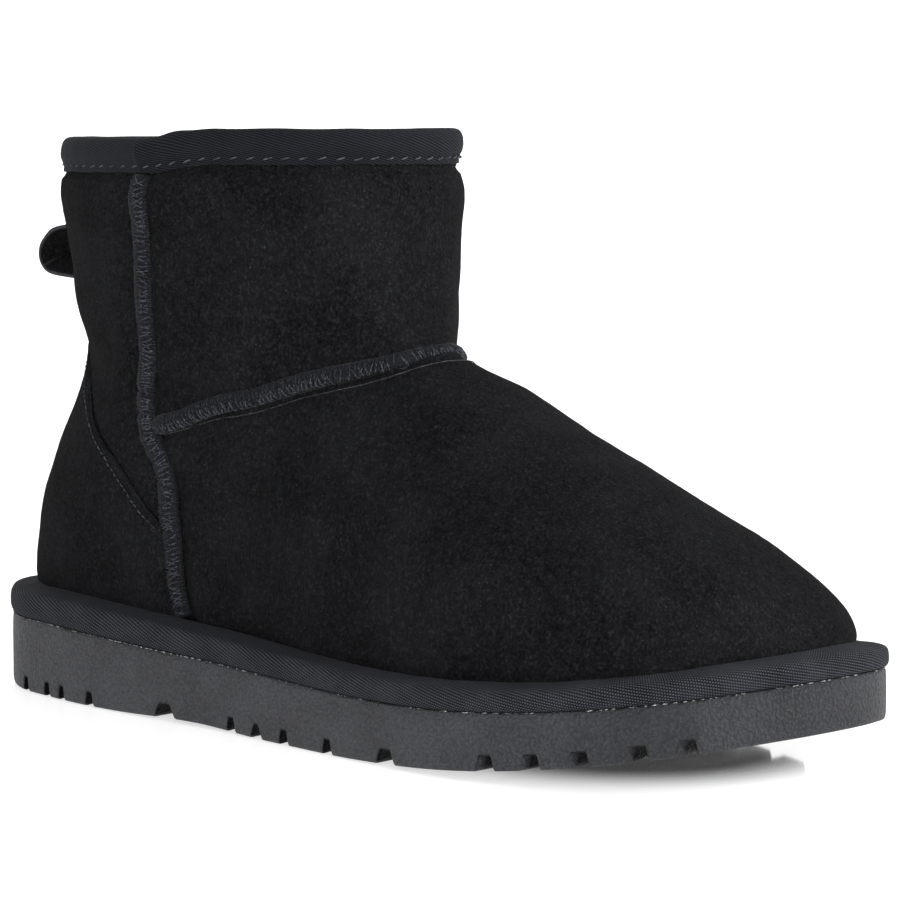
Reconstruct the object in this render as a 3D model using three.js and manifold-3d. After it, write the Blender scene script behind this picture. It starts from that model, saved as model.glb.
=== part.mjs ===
// Sheepskin ankle boot for the right foot: millimetres, +Z up, floor at z = 0.
// +X points to the toe and +Y to the inner side of the foot. Inside this file x is
// counted from the back of the heel; the finished group is moved so that its origin
// is on the floor under the heel seat.
import * as THREE from 'three';
import { mergeVertices } from 'three/addons/utils/BufferGeometryUtils.js';
import Module from 'manifold-3d';

// ---- driving sizes -------------------------------------------------------------
const SOLE_LENGTH = 270;
const HEEL_SEAT = 32;          // the origin, counted from the back of the heel
const TOE_SPRING = 13.2;       // how far the toe of the sole is lifted
const SPRING_START = 151;      // the tread is flat on the floor up to here
const ARCH_LIFT = 0.8;         // hollow of the tread between heel and ball
const ARCH_FROM = 64;
const ARCH_TO = 128;
const COLLAR_BACK = 148.6;     // top of the collar behind the side seams
const COLLAR_FRONT = 150.9;    // and in front of them
const COLLAR_STEP_AT = 80;
const COLLAR_STEP_LENGTH = 22;
const FEATHER_INSET = 7;       // from the sole's edge in to the foot of the upper
const GAP = 0.3;               // air left between pieces that touch
const TAPE = 1;                // thickness of the collar tape
const TAPE_BAND = 8.5;         // how far the tape reaches down the outside
const TAPE_INSIDE = 7.5;       // and down the inside
const COLLAR_WALL = 6;         // whole thickness of the bound collar
const COUNTER_SKIN = 1;        // thickness of the heel counter's suede
const COUNTER_GAP = 0.45;      // air under it, for the facets of both curved faces
const TREAD_DEPTH = 3.5;
const LOOP_WIDTH = 10;         // pull loop: a flat strip
const LOOP_SKIN = 1.8;
const LOOP_HEIGHT = 116.5;     // height of its middle over the floor

// ---- tables --------------------------------------------------------------------
// Sole outline: station from the back of the heel, half width, centre line.
const SOLE = table(['x', 'half', 'centre'], [
  [0, 0, 0.5],
  [8, 22.6, 0.6],
  [30, 35.2, 0.2],
  [62, 38.5, -1.5],
  [98, 38.5, -3.5],
  [131, 42, -3.5],
  [165, 47.5, -2],
  [195, 50.5, -1],
  [225, 46.5, 0.5],
  [250, 36, 4.6],
  [263, 20.8, 8.5],
  [270, 0, 10],
], (x) => roundStation(x, 0, SOLE_LENGTH));

// Thickness of the rubber and of the bound platform over it.
const STACK = table(['x', 'rubber', 'platform'], [
  [0, 19.5, 8],
  [35, 19.5, 8],
  [60, 18.7, 8],
  [100, 17.2, 7.2],
  [150, 15.3, 6.3],
  [220, 13.2, 6.1],
  [290, 11.7, 6],
]);

// Leg of the boot: height, back and front of its section, half width, centre line.
const LEG = table(['z', 'back', 'front', 'half', 'centre'], [
  [20, 7.6, 110.8, 29.6, -1],
  [45, 7.9, 122.1, 33.7, 0],
  [65, 15.6, 131.3, 35.9, 1],
  [92, 27.9, 137.9, 37.6, 2],
  [115, 23.3, 138.2, 41.2, 3],
  [138, 19.9, 137, 43.6, 3.7],
  [149, 20.6, 136.6, 43.2, 4.3],
]);

// Ridge of the foot: height of the upper over the platform along the centre line.
const RIDGE_BACK = 7;
const RIDGE_FRONT = 263;
const RIDGE = table(['x', 'rise'], [
  [7, 10],
  [30, 35],
  [60, 50],
  [100, 65],
  [130, 76.2],
  [160, 69.8],
  [190, 55.5],
  [215, 42.4],
  [235, 30.8],
  [250, 19.6],
  [259, 9],
  [263, 0],
], (x) => roundStation(x - RIDGE_BACK, 0, RIDGE_FRONT - RIDGE_BACK));

// Skin and pile together, from the platform (0) to the collar (1).
const WALL = table(['level', 'thick'], [
  [0, 7.5],
  [0.3, 7.5],
  [0.8, 6.8],
  [0.91, 6.5],
  [0.93, 4.7],
  [1, 4.7],
]);

// Upper edge of the heel counter: turn from the back seam in degrees, level.
const COUNTER_TURN = 67.5;
const COUNTER_EDGE = table(['turn', 'level'], [
  [0, 0.6],
  [18, 0.575],
  [38, 0.505],
  [48, 0.44],
  [55.5, 0.35],
  [67.5, 0.19],
]);

// Tread grooves across the sole: station, width at the floor and at the root.
const GROOVES = [
  { x: 26.4, mouth: 2.4, root: 1.8 },
  { x: 37.8, mouth: 2.4, root: 1.8 },
  { x: 45.1, mouth: 2.6, root: 1.8 },
  { x: 57.9, mouth: 3, root: 2 },
  { x: 88.7, mouth: 7.5, root: 3.5 },
  { x: 114.7, mouth: 3, root: 1.8 },
  { x: 125, mouth: 4.2, root: 1 },
  { x: 136.1, mouth: 3, root: 1.8 },
  { x: 153, mouth: 3, root: 2 },
  { x: 174.3, mouth: 6, root: 3 },
  { x: 205.9, mouth: 4.5, root: 3 },
  { x: 217.7, mouth: 4.5, root: 3 },
  { x: 229.4, mouth: 4.5, root: 3 },
  { x: 241.4, mouth: 4, root: 3 },
  { x: 250.4, mouth: 3, root: 2.2 },
];

// Side of the sole: inset from the outline and height over the tread.
const TREAD_EDGE = [
  { inset: 1.2, rise: 0 },
  { inset: -0.4, rise: 1.4 },
];

// Rounded edge of the platform: inset and share of its thickness.
const PLATFORM_EDGE = [
  { inset: 0.8, share: 0 },
  { inset: -0.4, share: 0.2 },
  { inset: -0.8, share: 0.45 },
  { inset: -0.3, share: 0.7 },
  { inset: 1.3, share: 0.9 },
  { inset: 3.6, share: 1 },
];

// Footbed: inset from the sole's outline and height over the platform.
const INSOLE_EDGE = [
  { inset: 15.6, rise: 0 },
  { inset: 15.6, rise: 1.2 },
  { inset: 18, rise: 3.6 },
  { inset: 22, rise: 5 },
];

// Pull loop: distance from the boot's back, height from the loop's middle, twist.
const LOOP = [
  { out: 1.2, up: 12.5, twist: 0 },
  { out: 1.3, up: 9.3, twist: 0 },
  { out: 4.5, up: 7.3, twist: 0 },
  { out: 11, up: 7.1, twist: 4 },
  { out: 18, up: 5.4, twist: 10 },
  { out: 22.2, up: 0.6, twist: 16 },
  { out: 18.6, up: -4, twist: 22 },
  { out: 11, up: -5.6, twist: 20 },
  { out: 4.5, up: -6.6, twist: 8 },
  { out: 1.3, up: -9, twist: 0 },
  { out: 1.2, up: -12.5, twist: 0 },
];

// ---- curves --------------------------------------------------------------------
// Station spaced like the points of a circle, so that round ends stay round.
function roundStation(x, from, to) {
  const share = THREE.MathUtils.clamp((x - from) / (to - from), 0, 1);
  return Math.acos(1 - 2 * share) / Math.PI;
}

// End slope of a monotone cubic curve.
function endSlope(h0, h1, d0, d1) {
  const slope = ((2 * h0 + h1) * d0 - h0 * d1) / (h0 + h1);
  if (slope * d0 <= 0) return 0;
  if (d0 * d1 < 0 && Math.abs(slope) > 3 * Math.abs(d0)) return 3 * d0;
  return slope;
}

// Slopes of the monotone cubic curve through all the points.
function monotoneSlopes(xs, ys) {
  const last = xs.length - 1;
  const h = xs.slice(1).map((x, i) => x - xs[i]);
  const d = h.map((step, i) => (ys[i + 1] - ys[i]) / step);
  if (last === 1) return [d[0], d[0]];
  const slopes = xs.map((x, i) => {
    if (i === 0 || i === last || d[i - 1] * d[i] <= 0) return 0;
    const a = 2 * h[i] + h[i - 1];
    const b = h[i] + 2 * h[i - 1];
    return (a + b) / (a / d[i - 1] + b / d[i]);
  });
  slopes[0] = endSlope(h[0], h[1], d[0], d[1]);
  slopes[last] = endSlope(h[last - 1], h[last - 2], d[last - 1], d[last - 2]);
  return slopes;
}

// A curve that never overshoots the points it goes through.
function monotone(xs, ys) {
  const slopes = monotoneSlopes(xs, ys);
  return (x) => {
    const held = THREE.MathUtils.clamp(x, xs[0], xs[xs.length - 1]);
    let i = 0;
    while (i < xs.length - 2 && held > xs[i + 1]) i += 1;
    const h = xs[i + 1] - xs[i];
    const t = (held - xs[i]) / h;
    const rise = t * t * (3 - 2 * t);
    const near = t * (1 - t) * (1 - t) * slopes[i] * h;
    const far = t * t * (t - 1) * slopes[i + 1] * h;
    return ys[i] * (1 - rise) + ys[i + 1] * rise + near + far;
  };
}

// A table of sections: each column becomes a curve over the first column.
function table(names, rows, station = (x) => x) {
  const xs = rows.map((row) => station(row[0]));
  const curves = {};
  names.slice(1).forEach((name, i) => {
    const curve = monotone(xs, rows.map((row) => row[i + 1]));
    curves[name] = (x) => curve(station(x));
  });
  return curves;
}

function ramp(x, from, to) {
  return THREE.MathUtils.smoothstep(x, from, to);
}

// ---- heights of the sole -------------------------------------------------------
function treadHeight(x) {
  const spring = THREE.MathUtils.clamp((x - SPRING_START) / (SOLE_LENGTH - SPRING_START), 0, 1.1);
  const arch = THREE.MathUtils.clamp((x - ARCH_FROM) / (ARCH_TO - ARCH_FROM), 0, 1);
  return TOE_SPRING * spring ** 2 + ARCH_LIFT * Math.sin(Math.PI * arch) ** 2;
}

// The upper faces don't follow the small hollow of the arch.
function rubberTop(x) {
  const spring = THREE.MathUtils.clamp((x - SPRING_START) / (SOLE_LENGTH - SPRING_START), 0, 1.1);
  return TOE_SPRING * spring ** 2 + STACK.rubber(x);
}

function platformTop(x) {
  return rubberTop(x) + STACK.platform(x);
}

function collarTop(x) {
  const step = ramp(x, COLLAR_STEP_AT, COLLAR_STEP_AT + COLLAR_STEP_LENGTH);
  return THREE.MathUtils.lerp(COLLAR_BACK, COLLAR_FRONT, step);
}

// ---- outlines ------------------------------------------------------------------
// Point of the sole's edge: lap 0 at the heel, 0.5 at the toe along the outer side,
// and back along the inner side to 1.
function soleEdge(lap) {
  const turn = ((lap % 1) + 1) % 1;
  const outer = turn <= 0.5;
  const share = outer ? turn * 2 : 2 - turn * 2;
  const x = (SOLE_LENGTH * (1 - Math.cos(Math.PI * share))) / 2;
  const half = SOLE.half(x);
  return new THREE.Vector2(x, SOLE.centre(x) + (outer ? -half : half));
}

// The same point moved inwards, square to the edge.
function insetEdge(lap, inset) {
  const step = 0.002;
  const along = soleEdge(lap + step).sub(soleEdge(lap - step)).normalize();
  return soleEdge(lap).add(new THREE.Vector2(-along.y, along.x).multiplyScalar(inset));
}

// Foot of the upper as two open lines, outer and inner, ordered from heel to toe.
function featherLines() {
  const steps = 300;
  const outer = [];
  const inner = [];
  for (let i = 0; i <= steps; i += 1) {
    outer.push(insetEdge((i / steps) / 2, FEATHER_INSET));
    inner.push(insetEdge(1 - (i / steps) / 2, FEATHER_INSET));
  }
  const byStation = (a, b) => a.x - b.x;
  return { outer: outer.sort(byStation), inner: inner.sort(byStation) };
}

const FEATHER = featherLines();
const FEATHER_BACK = FEATHER.outer[0].x;
const FEATHER_FRONT = FEATHER.outer[FEATHER.outer.length - 1].x;

// Side of a sampled line at a station.
function lineAt(line, x) {
  if (x <= line[0].x) return line[0].y;
  let low = 0;
  let high = line.length - 1;
  if (x >= line[high].x) return line[high].y;
  while (high - low > 1) {
    const middle = (low + high) >> 1;
    if (line[middle].x <= x) low = middle;
    else high = middle;
  }
  const t = (x - line[low].x) / Math.max(line[high].x - line[low].x, 1e-9);
  return THREE.MathUtils.lerp(line[low].y, line[high].y, t);
}

// ---- form of the upper ---------------------------------------------------------
// Both forms below are under 0 inside and over 0 outside, in rough millimetres.
function footForm(x, y, z) {
  const outer = lineAt(FEATHER.outer, x);
  const inner = lineAt(FEATHER.inner, x);
  const half = Math.max((inner - outer) / 2, 0.05);
  const ridge = Math.max(RIDGE.rise(x), 0.05);
  const height = Math.max(z - platformTop(x), 0) / ridge;
  const swell = 1 + 0.05 * Math.sin(Math.PI * Math.min(height / 0.8, 1));
  const across = Math.abs((y - (outer + inner) / 2) / (half * swell));
  const section = (across ** 2.1 + height ** 2.2) ** (1 / 2.1) - 1;
  const past = Math.max(x - FEATHER_FRONT, FEATHER_BACK - x, 0);
  return THREE.MathUtils.clamp(section, -1, 8) * 40 + past * 20;
}

function legForm(x, y, z) {
  const back = LEG.back(z);
  const front = LEG.front(z);
  const along = Math.abs((x - (back + front) / 2) / ((front - back) / 2));
  const across = Math.abs((y - LEG.centre(z)) / LEG.half(z));
  return ((along ** 2.2 + across ** 2.2) ** (1 / 2.2) - 1) * 45;
}

// Foot and leg blended into one form; the blend grows away from the sole.
function bootForm(x, y, z) {
  const foot = footForm(x, y, z);
  const leg = legForm(x, y, z);
  const blend = 12 * THREE.MathUtils.clamp((z - platformTop(x) - 2) / 25, 0.02, 1);
  const overlap = Math.max(blend - Math.abs(foot - leg), 0);
  return Math.min(foot, leg) - (overlap * overlap) / (4 * blend);
}

// Point of the boot's surface. Turn is in degrees from the back seam, positive on
// the outer side, 180 at the toe; level goes from 0 at the platform to 1 at the collar.
function surfacePoint(turn, level) {
  const angle = THREE.MathUtils.degToRad(turn);
  const fall = Math.max(1 - level, 0) ** 1.2;
  const middle = THREE.MathUtils.lerp(78, 132, fall);
  const reach = THREE.MathUtils.lerp(60, 130, Math.max(1 - level, 0));
  const way = new THREE.Vector2(-Math.cos(angle) * reach, -Math.sin(angle) * 46).normalize();
  const place = (radius) => {
    const x = middle + radius * way.x;
    const y = radius * way.y;
    const z = THREE.MathUtils.lerp(platformTop(x), collarTop(x), level);
    return new THREE.Vector3(x, y, z);
  };
  let inside = 0;
  let outside = 175;
  for (let i = 0; i < 34; i += 1) {
    const radius = (inside + outside) / 2;
    const p = place(radius);
    if (bootForm(p.x, p.y, p.z) < 0) inside = radius;
    else outside = radius;
  }
  return place((inside + outside) / 2);
}

// Outward direction of the surface; level on the platform and at the collar.
function surfaceNormal(turn, level) {
  const low = Math.max(level - 0.012, 0);
  const high = Math.min(level + 0.012, 1);
  const around = surfacePoint(turn + 1.5, level).sub(surfacePoint(turn - 1.5, level));
  const upward = surfacePoint(turn, high).sub(surfacePoint(turn, low));
  const normal = around.cross(upward).normalize();
  normal.z *= ramp(level, 0, 0.08) * (1 - ramp(level, 0.86, 0.92));
  return normal.normalize();
}

// The skin runs under the heel counter and under the tape by their thickness.
function skinDepth(turn, level) {
  const side = Math.abs(turn > 180 ? turn - 360 : turn);
  const counter = (1 - ramp(side, COUNTER_TURN, 100)) * (1 - ramp(level, 0.5, 0.75));
  const tape = ramp(level, 0.91, 0.927);
  return (COUNTER_SKIN + COUNTER_GAP) * counter + (TAPE + GAP) * tape;
}

// A point on the upper, moved out from its skin (or in, when negative).
function onSkin(turn, level, out) {
  const normal = surfaceNormal(turn, level);
  const point = surfacePoint(turn, level);
  point.addScaledVector(normal, out - skinDepth(turn, level));
  return point;
}

// ---- solids --------------------------------------------------------------------
// Strip of triangles between two rings of equal length.
function joinRings(index, a, b, count) {
  for (let i = 0; i < count; i += 1) {
    const j = (i + 1) % count;
    index.push(a + i, a + j, b + j);
    index.push(a + i, b + j, b + i);
  }
}

// Cap of a ring that runs heel, outer side, toe, inner side: strips across it.
function capRing(index, start, count, up) {
  for (let i = 0; i < count / 2; i += 1) {
    const a = start + i;
    const b = start + i + 1;
    const c = start + ((count - i - 1) % count);
    const d = start + ((count - i) % count);
    const faces = [];
    if (b !== c) faces.push([a, b, c]);
    if (a !== d) faces.push([a, c, d]);
    faces.forEach(([p, q, r]) => index.push(p, up ? q : r, up ? r : q));
  }
}

function geometryOf(points, index) {
  const flat = points.flatMap((p) => [p.x, p.y, p.z]);
  let volume = 0;
  for (let i = 0; i < index.length; i += 3) {
    const [a, b, c] = [points[index[i]], points[index[i + 1]], points[index[i + 2]]];
    volume += a.dot(b.clone().cross(c));
  }
  const faces = volume > 0 ? index : index.slice().reverse();
  const geometry = new THREE.BufferGeometry();
  geometry.setAttribute('position', new THREE.Float32BufferAttribute(flat, 3));
  geometry.setIndex(faces);
  return geometry;
}

// Solid through a stack of rings, capped at both ends.
function cappedStack(rings) {
  const count = rings[0].length;
  const index = [];
  for (let k = 0; k < rings.length - 1; k += 1) joinRings(index, k * count, (k + 1) * count, count);
  capRing(index, 0, count, false);
  capRing(index, (rings.length - 1) * count, count, true);
  return geometryOf(rings.flat(), index);
}

// Solid through rings that close on themselves, with a hole through the middle.
function closedStack(rings) {
  const count = rings[0].length;
  const index = [];
  for (let k = 0; k < rings.length; k += 1) {
    joinRings(index, k * count, ((k + 1) % rings.length) * count, count);
  }
  return geometryOf(rings.flat(), index);
}

// Curved plate between two grids of points with the same rows and columns.
function platedGrid(near, far) {
  const rows = near.length;
  const columns = near[0].length;
  const shift = rows * columns;
  const at = (r, c) => r * columns + c;
  const rim = [];
  for (let c = 0; c < columns - 1; c += 1) rim.push(at(0, c));
  for (let r = 0; r < rows - 1; r += 1) rim.push(at(r, columns - 1));
  for (let c = columns - 1; c > 0; c -= 1) rim.push(at(rows - 1, c));
  for (let r = rows - 1; r > 0; r -= 1) rim.push(at(r, 0));
  const index = [];
  for (let r = 0; r < rows - 1; r += 1) {
    for (let c = 0; c < columns - 1; c += 1) {
      const [a, b, d, e] = [at(r, c), at(r, c + 1), at(r + 1, c + 1), at(r + 1, c)];
      index.push(a, b, d, a, d, e);
      index.push(a + shift, d + shift, b + shift, a + shift, e + shift, d + shift);
    }
  }
  rim.forEach((a, i) => {
    const b = rim[(i + 1) % rim.length];
    index.push(a, a + shift, b + shift, a, b + shift, b);
  });
  return geometryOf([...near.flat(), ...far.flat()], index);
}

function named(name, geometry, colour, roughness) {
  geometry.computeVertexNormals();
  const material = new THREE.MeshStandardMaterial({ color: colour, roughness, metalness: 0 });
  const mesh = new THREE.Mesh(geometry, material);
  mesh.name = name;
  return mesh;
}

// ---- joining and cutting -------------------------------------------------------
const wasm = await Module();
wasm.setup();

function toSolid(geometry) {
  const bare = geometry.clone();
  bare.deleteAttribute('normal');
  bare.deleteAttribute('uv');
  const merged = mergeVertices(bare, 1e-4);
  return new wasm.Manifold(new wasm.Mesh({
    numProp: 3,
    vertProperties: new Float32Array(merged.attributes.position.array),
    triVerts: new Uint32Array(merged.index.array),
  }));
}

function fromSolid(solid) {
  const mesh = solid.getMesh();
  const geometry = new THREE.BufferGeometry();
  geometry.setAttribute('position', new THREE.BufferAttribute(mesh.vertProperties, 3));
  geometry.setIndex(new THREE.BufferAttribute(mesh.triVerts, 1));
  return geometry;
}

// ---- sub-parts -----------------------------------------------------------------
const SOLE_POINTS = 72;
const TURN_STEPS = 64;

function soleRing(inset, heightAt) {
  return Array.from({ length: SOLE_POINTS }, (_, i) => {
    const p = insetEdge(i / SOLE_POINTS, inset);
    return new THREE.Vector3(p.x, p.y, heightAt(p.x));
  });
}

// Wedge that cuts one groove across the tread.
function grooveCutter({ x, mouth, root }) {
  const spare = 2;
  const across = 130;
  const floor = treadHeight(x);
  const flare = ((mouth - root) / 2) * (spare / TREAD_DEPTH);
  const shape = new THREE.Shape();
  shape.moveTo(x - mouth / 2 - flare, floor - spare);
  shape.lineTo(x + mouth / 2 + flare, floor - spare);
  shape.lineTo(x + root / 2, floor + TREAD_DEPTH);
  shape.lineTo(x - root / 2, floor + TREAD_DEPTH);
  shape.closePath();
  const wedge = new THREE.ExtrudeGeometry(shape, { depth: across, bevelEnabled: false });
  wedge.rotateX(Math.PI / 2);
  wedge.translate(0, across / 2, 0);
  return wedge;
}

function outsole() {
  const rings = TREAD_EDGE.map(({ inset, rise }) => soleRing(inset, (x) => treadHeight(x) + rise));
  rings.push(soleRing(0, rubberTop));
  let solid = toSolid(cappedStack(rings));
  GROOVES.forEach((groove) => {
    solid = solid.subtract(toSolid(grooveCutter(groove)));
  });
  return named('outsole', fromSolid(solid), 0x46474b, 0.75);
}

function wrappedMidsole() {
  const rings = PLATFORM_EDGE.map(({ inset, share }) => soleRing(inset, (x) => (
    rubberTop(x) + GAP + share * (STACK.platform(x) - GAP))));
  return named('wrapped_midsole', cappedStack(rings), 0x2b2d33, 0.85);
}

function insole() {
  const rings = INSOLE_EDGE.map(({ inset, rise }) => soleRing(inset, (x) => (
    platformTop(x) + GAP + rise)));
  return named('insole', cappedStack(rings), 0x3a3a3c, 0.95);
}

function turnRing(place) {
  return Array.from({ length: TURN_STEPS }, (_, i) => place((i * 360) / TURN_STEPS));
}

// Foot of the wall, outer or inner edge, resting just over the platform.
function wallFoot(turn, out) {
  const p = onSkin(turn, 0, out);
  p.z = platformTop(p.x) + GAP;
  return p;
}

function wallTop(turn, out) {
  const p = onSkin(turn, 1, out);
  p.z = collarTop(p.x) - TAPE - GAP;
  return p;
}

function upper() {
  const outerLevels = [];
  for (let i = 1; i <= 17; i += 1) outerLevels.push((0.9 * i) / 17);
  outerLevels.push(0.93, 0.965);
  const innerLevels = [0.965, 0.93, 0.9];
  for (let i = 11; i >= 1; i -= 1) innerLevels.push((0.86 * i) / 11.5);
  const wallAt = (level) => (turn) => {
    const p = onSkin(turn, level, skinDepth(turn, level) - WALL.thick(level));
    p.z = Math.max(p.z, platformTop(p.x) + GAP + 1);
    return p;
  };
  const rings = [
    turnRing((turn) => wallFoot(turn, 0)),
    ...outerLevels.map((level) => turnRing((turn) => onSkin(turn, level, 0))),
    turnRing((turn) => wallTop(turn, 0)),
    turnRing((turn) => wallTop(turn, TAPE + GAP - WALL.thick(1))),
    ...innerLevels.map((level) => turnRing(wallAt(level))),
    turnRing((turn) => wallFoot(turn, skinDepth(turn, 0) - WALL.thick(0))),
  ];
  return named('upper', closedStack(rings), 0x1c1c1e, 0.95);
}

// A point of the collar tape: out from the leg's form, down from the collar's top.
function tapePoint(turn, out, drop) {
  const whole = collarTop(LEG.back(COLLAR_BACK)) - platformTop(LEG.back(COLLAR_BACK));
  const level = 1 - drop / whole;
  const p = onSkin(turn, level, out + skinDepth(turn, level));
  p.z = collarTop(p.x) - drop;
  return p;
}

function collarBinding() {
  const inner = -COLLAR_WALL;
  const section = [
    [0, TAPE_BAND],
    [0, 1.6],
    [-0.5, 0.5],
    [-1.8, 0],
    [inner + 1.8, 0],
    [inner + 0.5, 0.5],
    [inner, 1.6],
    [inner, TAPE_INSIDE],
    [inner + TAPE, TAPE_INSIDE],
    [inner + TAPE, TAPE],
    [-TAPE, TAPE],
    [-TAPE, TAPE_BAND],
  ];
  const rings = section.map(([out, drop]) => turnRing((turn) => tapePoint(turn, out, drop)));
  return named('collar_binding', closedStack(rings), 0x2b2d33, 0.85);
}

function heelCounter() {
  const columns = (2 * COUNTER_TURN) / (360 / TURN_STEPS) + 1;
  const rows = 11;
  const grid = (out) => Array.from({ length: rows }, (_, r) => (
    Array.from({ length: columns }, (_unused, c) => {
      const turn = THREE.MathUtils.lerp(-COUNTER_TURN, COUNTER_TURN, c / (columns - 1));
      const level = (COUNTER_EDGE.level(Math.abs(turn)) * r) / (rows - 1);
      const p = onSkin(turn, level, out);
      if (r === 0) p.z = platformTop(p.x) + GAP;
      return p;
    })));
  const plate = platedGrid(grid(COUNTER_GAP), grid(COUNTER_GAP + COUNTER_SKIN));
  return named('heel_counter', plate, 0x1c1c1e, 0.95);
}

// Back of the boot along the back seam at a height.
function backAt(z) {
  let best = surfacePoint(0, 0.6);
  for (let level = 0.6; level <= 1; level += 0.01) {
    const p = surfacePoint(0, level);
    if (Math.abs(p.z - z) < Math.abs(best.z - z)) best = p;
  }
  return best;
}

function pullLoop() {
  const path = LOOP.map(({ out, up }) => {
    const back = backAt(LOOP_HEIGHT + up);
    return new THREE.Vector3(back.x - out, LEG.centre(LOOP_HEIGHT), LOOP_HEIGHT + up);
  });
  const curve = new THREE.CatmullRomCurve3(path, false, 'centripetal');
  const twist = new THREE.CatmullRomCurve3(
    LOOP.map(({ twist: degrees }, i) => new THREE.Vector3(i, degrees, 0)), false, 'centripetal');
  const steps = 44;
  const rings = [];
  for (let k = 0; k <= steps; k += 1) {
    const middle = curve.getPoint(k / steps);
    const along = curve.getTangent(k / steps);
    const turn = THREE.MathUtils.degToRad(twist.getPoint(k / steps).y);
    const wide = new THREE.Vector3(0, 1, 0).applyAxisAngle(along, turn);
    const thick = new THREE.Vector3().crossVectors(along, wide);
    const corner = (a, b) => middle.clone()
      .addScaledVector(wide, (a * LOOP_WIDTH) / 2)
      .addScaledVector(thick, (b * LOOP_SKIN) / 2);
    rings.push([corner(-1, -1), corner(1, -1), corner(1, 1), corner(-1, 1)]);
  }
  return named('pull_loop', cappedStack(rings), 0x1c1c1e, 0.9);
}

// ---- the boot ------------------------------------------------------------------
const boot = new THREE.Group();
boot.add(
  outsole(),
  wrappedMidsole(),
  insole(),
  upper(),
  heelCounter(),
  collarBinding(),
  pullLoop(),
);
boot.position.set(-HEEL_SEAT, 0, 0);

export default boot;
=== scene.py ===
"""Sheepskin ankle boot: the visible skin, tape, rubber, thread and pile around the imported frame.

Every form is worked out in millimetres in the boot's own sizes, counted from the back of the
heel, and moved into the frame in metres when its mesh is made.
"""
from __future__ import annotations

import logging
import math
from dataclasses import dataclass, field, replace
from enum import Enum
from typing import Callable, Iterable, Sequence

import bpy
import numpy as np
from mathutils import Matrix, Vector


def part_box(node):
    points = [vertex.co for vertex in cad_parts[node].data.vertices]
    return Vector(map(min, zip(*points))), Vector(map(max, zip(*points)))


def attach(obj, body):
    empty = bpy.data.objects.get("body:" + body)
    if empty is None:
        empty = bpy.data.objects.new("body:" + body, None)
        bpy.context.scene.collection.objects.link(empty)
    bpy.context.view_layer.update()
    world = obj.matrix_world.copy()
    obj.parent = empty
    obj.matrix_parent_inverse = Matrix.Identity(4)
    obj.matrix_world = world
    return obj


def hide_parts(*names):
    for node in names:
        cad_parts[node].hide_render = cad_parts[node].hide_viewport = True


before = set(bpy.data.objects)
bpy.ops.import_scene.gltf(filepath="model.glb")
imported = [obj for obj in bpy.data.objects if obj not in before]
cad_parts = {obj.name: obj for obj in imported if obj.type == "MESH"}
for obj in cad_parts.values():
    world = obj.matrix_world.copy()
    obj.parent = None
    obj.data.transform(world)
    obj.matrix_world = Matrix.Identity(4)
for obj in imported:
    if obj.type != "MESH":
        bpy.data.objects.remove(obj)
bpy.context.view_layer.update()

LOG = logging.getLogger("boot")
MM = 0.001
BODY = "root"
GAP = 0.3
HEEL_FLARE = 0.4

Array = np.ndarray


# ---- curves and small helpers ------------------------------------------------------------------
def smooth(x: Array, low: float, high: float) -> Array:
    """Soft step.

    Args:
        x: Values.
        low: Where the step starts.
        high: Where it ends; it may be under low for a falling step.

    Returns:
        0 before low, 1 after high and a smooth rise between them.
    """
    t = np.clip((np.asarray(x, float) - low) / (high - low), 0, 1)
    return t * t * (3 - 2 * t)


def bell(x: Array, middle: float, width: float) -> Array:
    """Gaussian hump of height 1 at middle."""
    return np.exp(-((np.asarray(x, float) - middle) / width) ** 2)


def round_station(start: float, end: float) -> Callable[[Array], Array]:
    """Station spacing that keeps round ends round.

    Args:
        start: First station.
        end: Last station.

    Returns:
        A function from a station to its share of a half circle.
    """
    def station(x: Array) -> Array:
        """Share of the half circle at a station."""
        share = np.clip((np.asarray(x, float) - start) / (end - start), 0, 1)
        return np.arccos(1 - 2 * share) / math.pi
    return station


class MonotoneCurve:
    """Cubic curve through given points that never overshoots them."""

    def __init__(self, xs: Sequence[float], ys: Sequence[float]) -> None:
        """Works out the slopes.

        Args:
            xs: Rising stations.
            ys: One value for each station.
        """
        self.xs = np.asarray(xs, float)
        self.ys = np.asarray(ys, float)
        h = np.diff(self.xs)
        d = np.diff(self.ys) / h
        slopes = np.zeros(len(self.xs))
        for i in range(1, len(self.xs) - 1):
            if d[i - 1] * d[i] > 0:
                a = 2 * h[i] + h[i - 1]
                b = h[i] + 2 * h[i - 1]
                slopes[i] = (a + b) / (a / d[i - 1] + b / d[i])
        if len(d) == 1:
            slopes[:] = d[0]
        else:
            slopes[0] = self._end(h[0], h[1], d[0], d[1])
            slopes[-1] = self._end(h[-1], h[-2], d[-1], d[-2])
        self.slopes = slopes

    @staticmethod
    def _end(h0: float, h1: float, d0: float, d1: float) -> float:
        """Slope at an end from its two nearest steps."""
        slope = ((2 * h0 + h1) * d0 - h0 * d1) / (h0 + h1)
        if slope * d0 <= 0:
            return 0.0
        if d0 * d1 < 0 and abs(slope) > 3 * abs(d0):
            return 3 * d0
        return slope

    def __call__(self, x: Array) -> Array:
        """Value of the curve, held level past its ends."""
        held = np.clip(np.asarray(x, float), self.xs[0], self.xs[-1])
        i = np.clip(np.searchsorted(self.xs, held, side="left") - 1, 0, len(self.xs) - 2)
        h = self.xs[i + 1] - self.xs[i]
        t = (held - self.xs[i]) / h
        rise = t * t * (3 - 2 * t)
        near = t * (1 - t) ** 2 * self.slopes[i] * h
        far = t * t * (t - 1) * self.slopes[i + 1] * h
        return self.ys[i] * (1 - rise) + self.ys[i + 1] * rise + near + far


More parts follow.
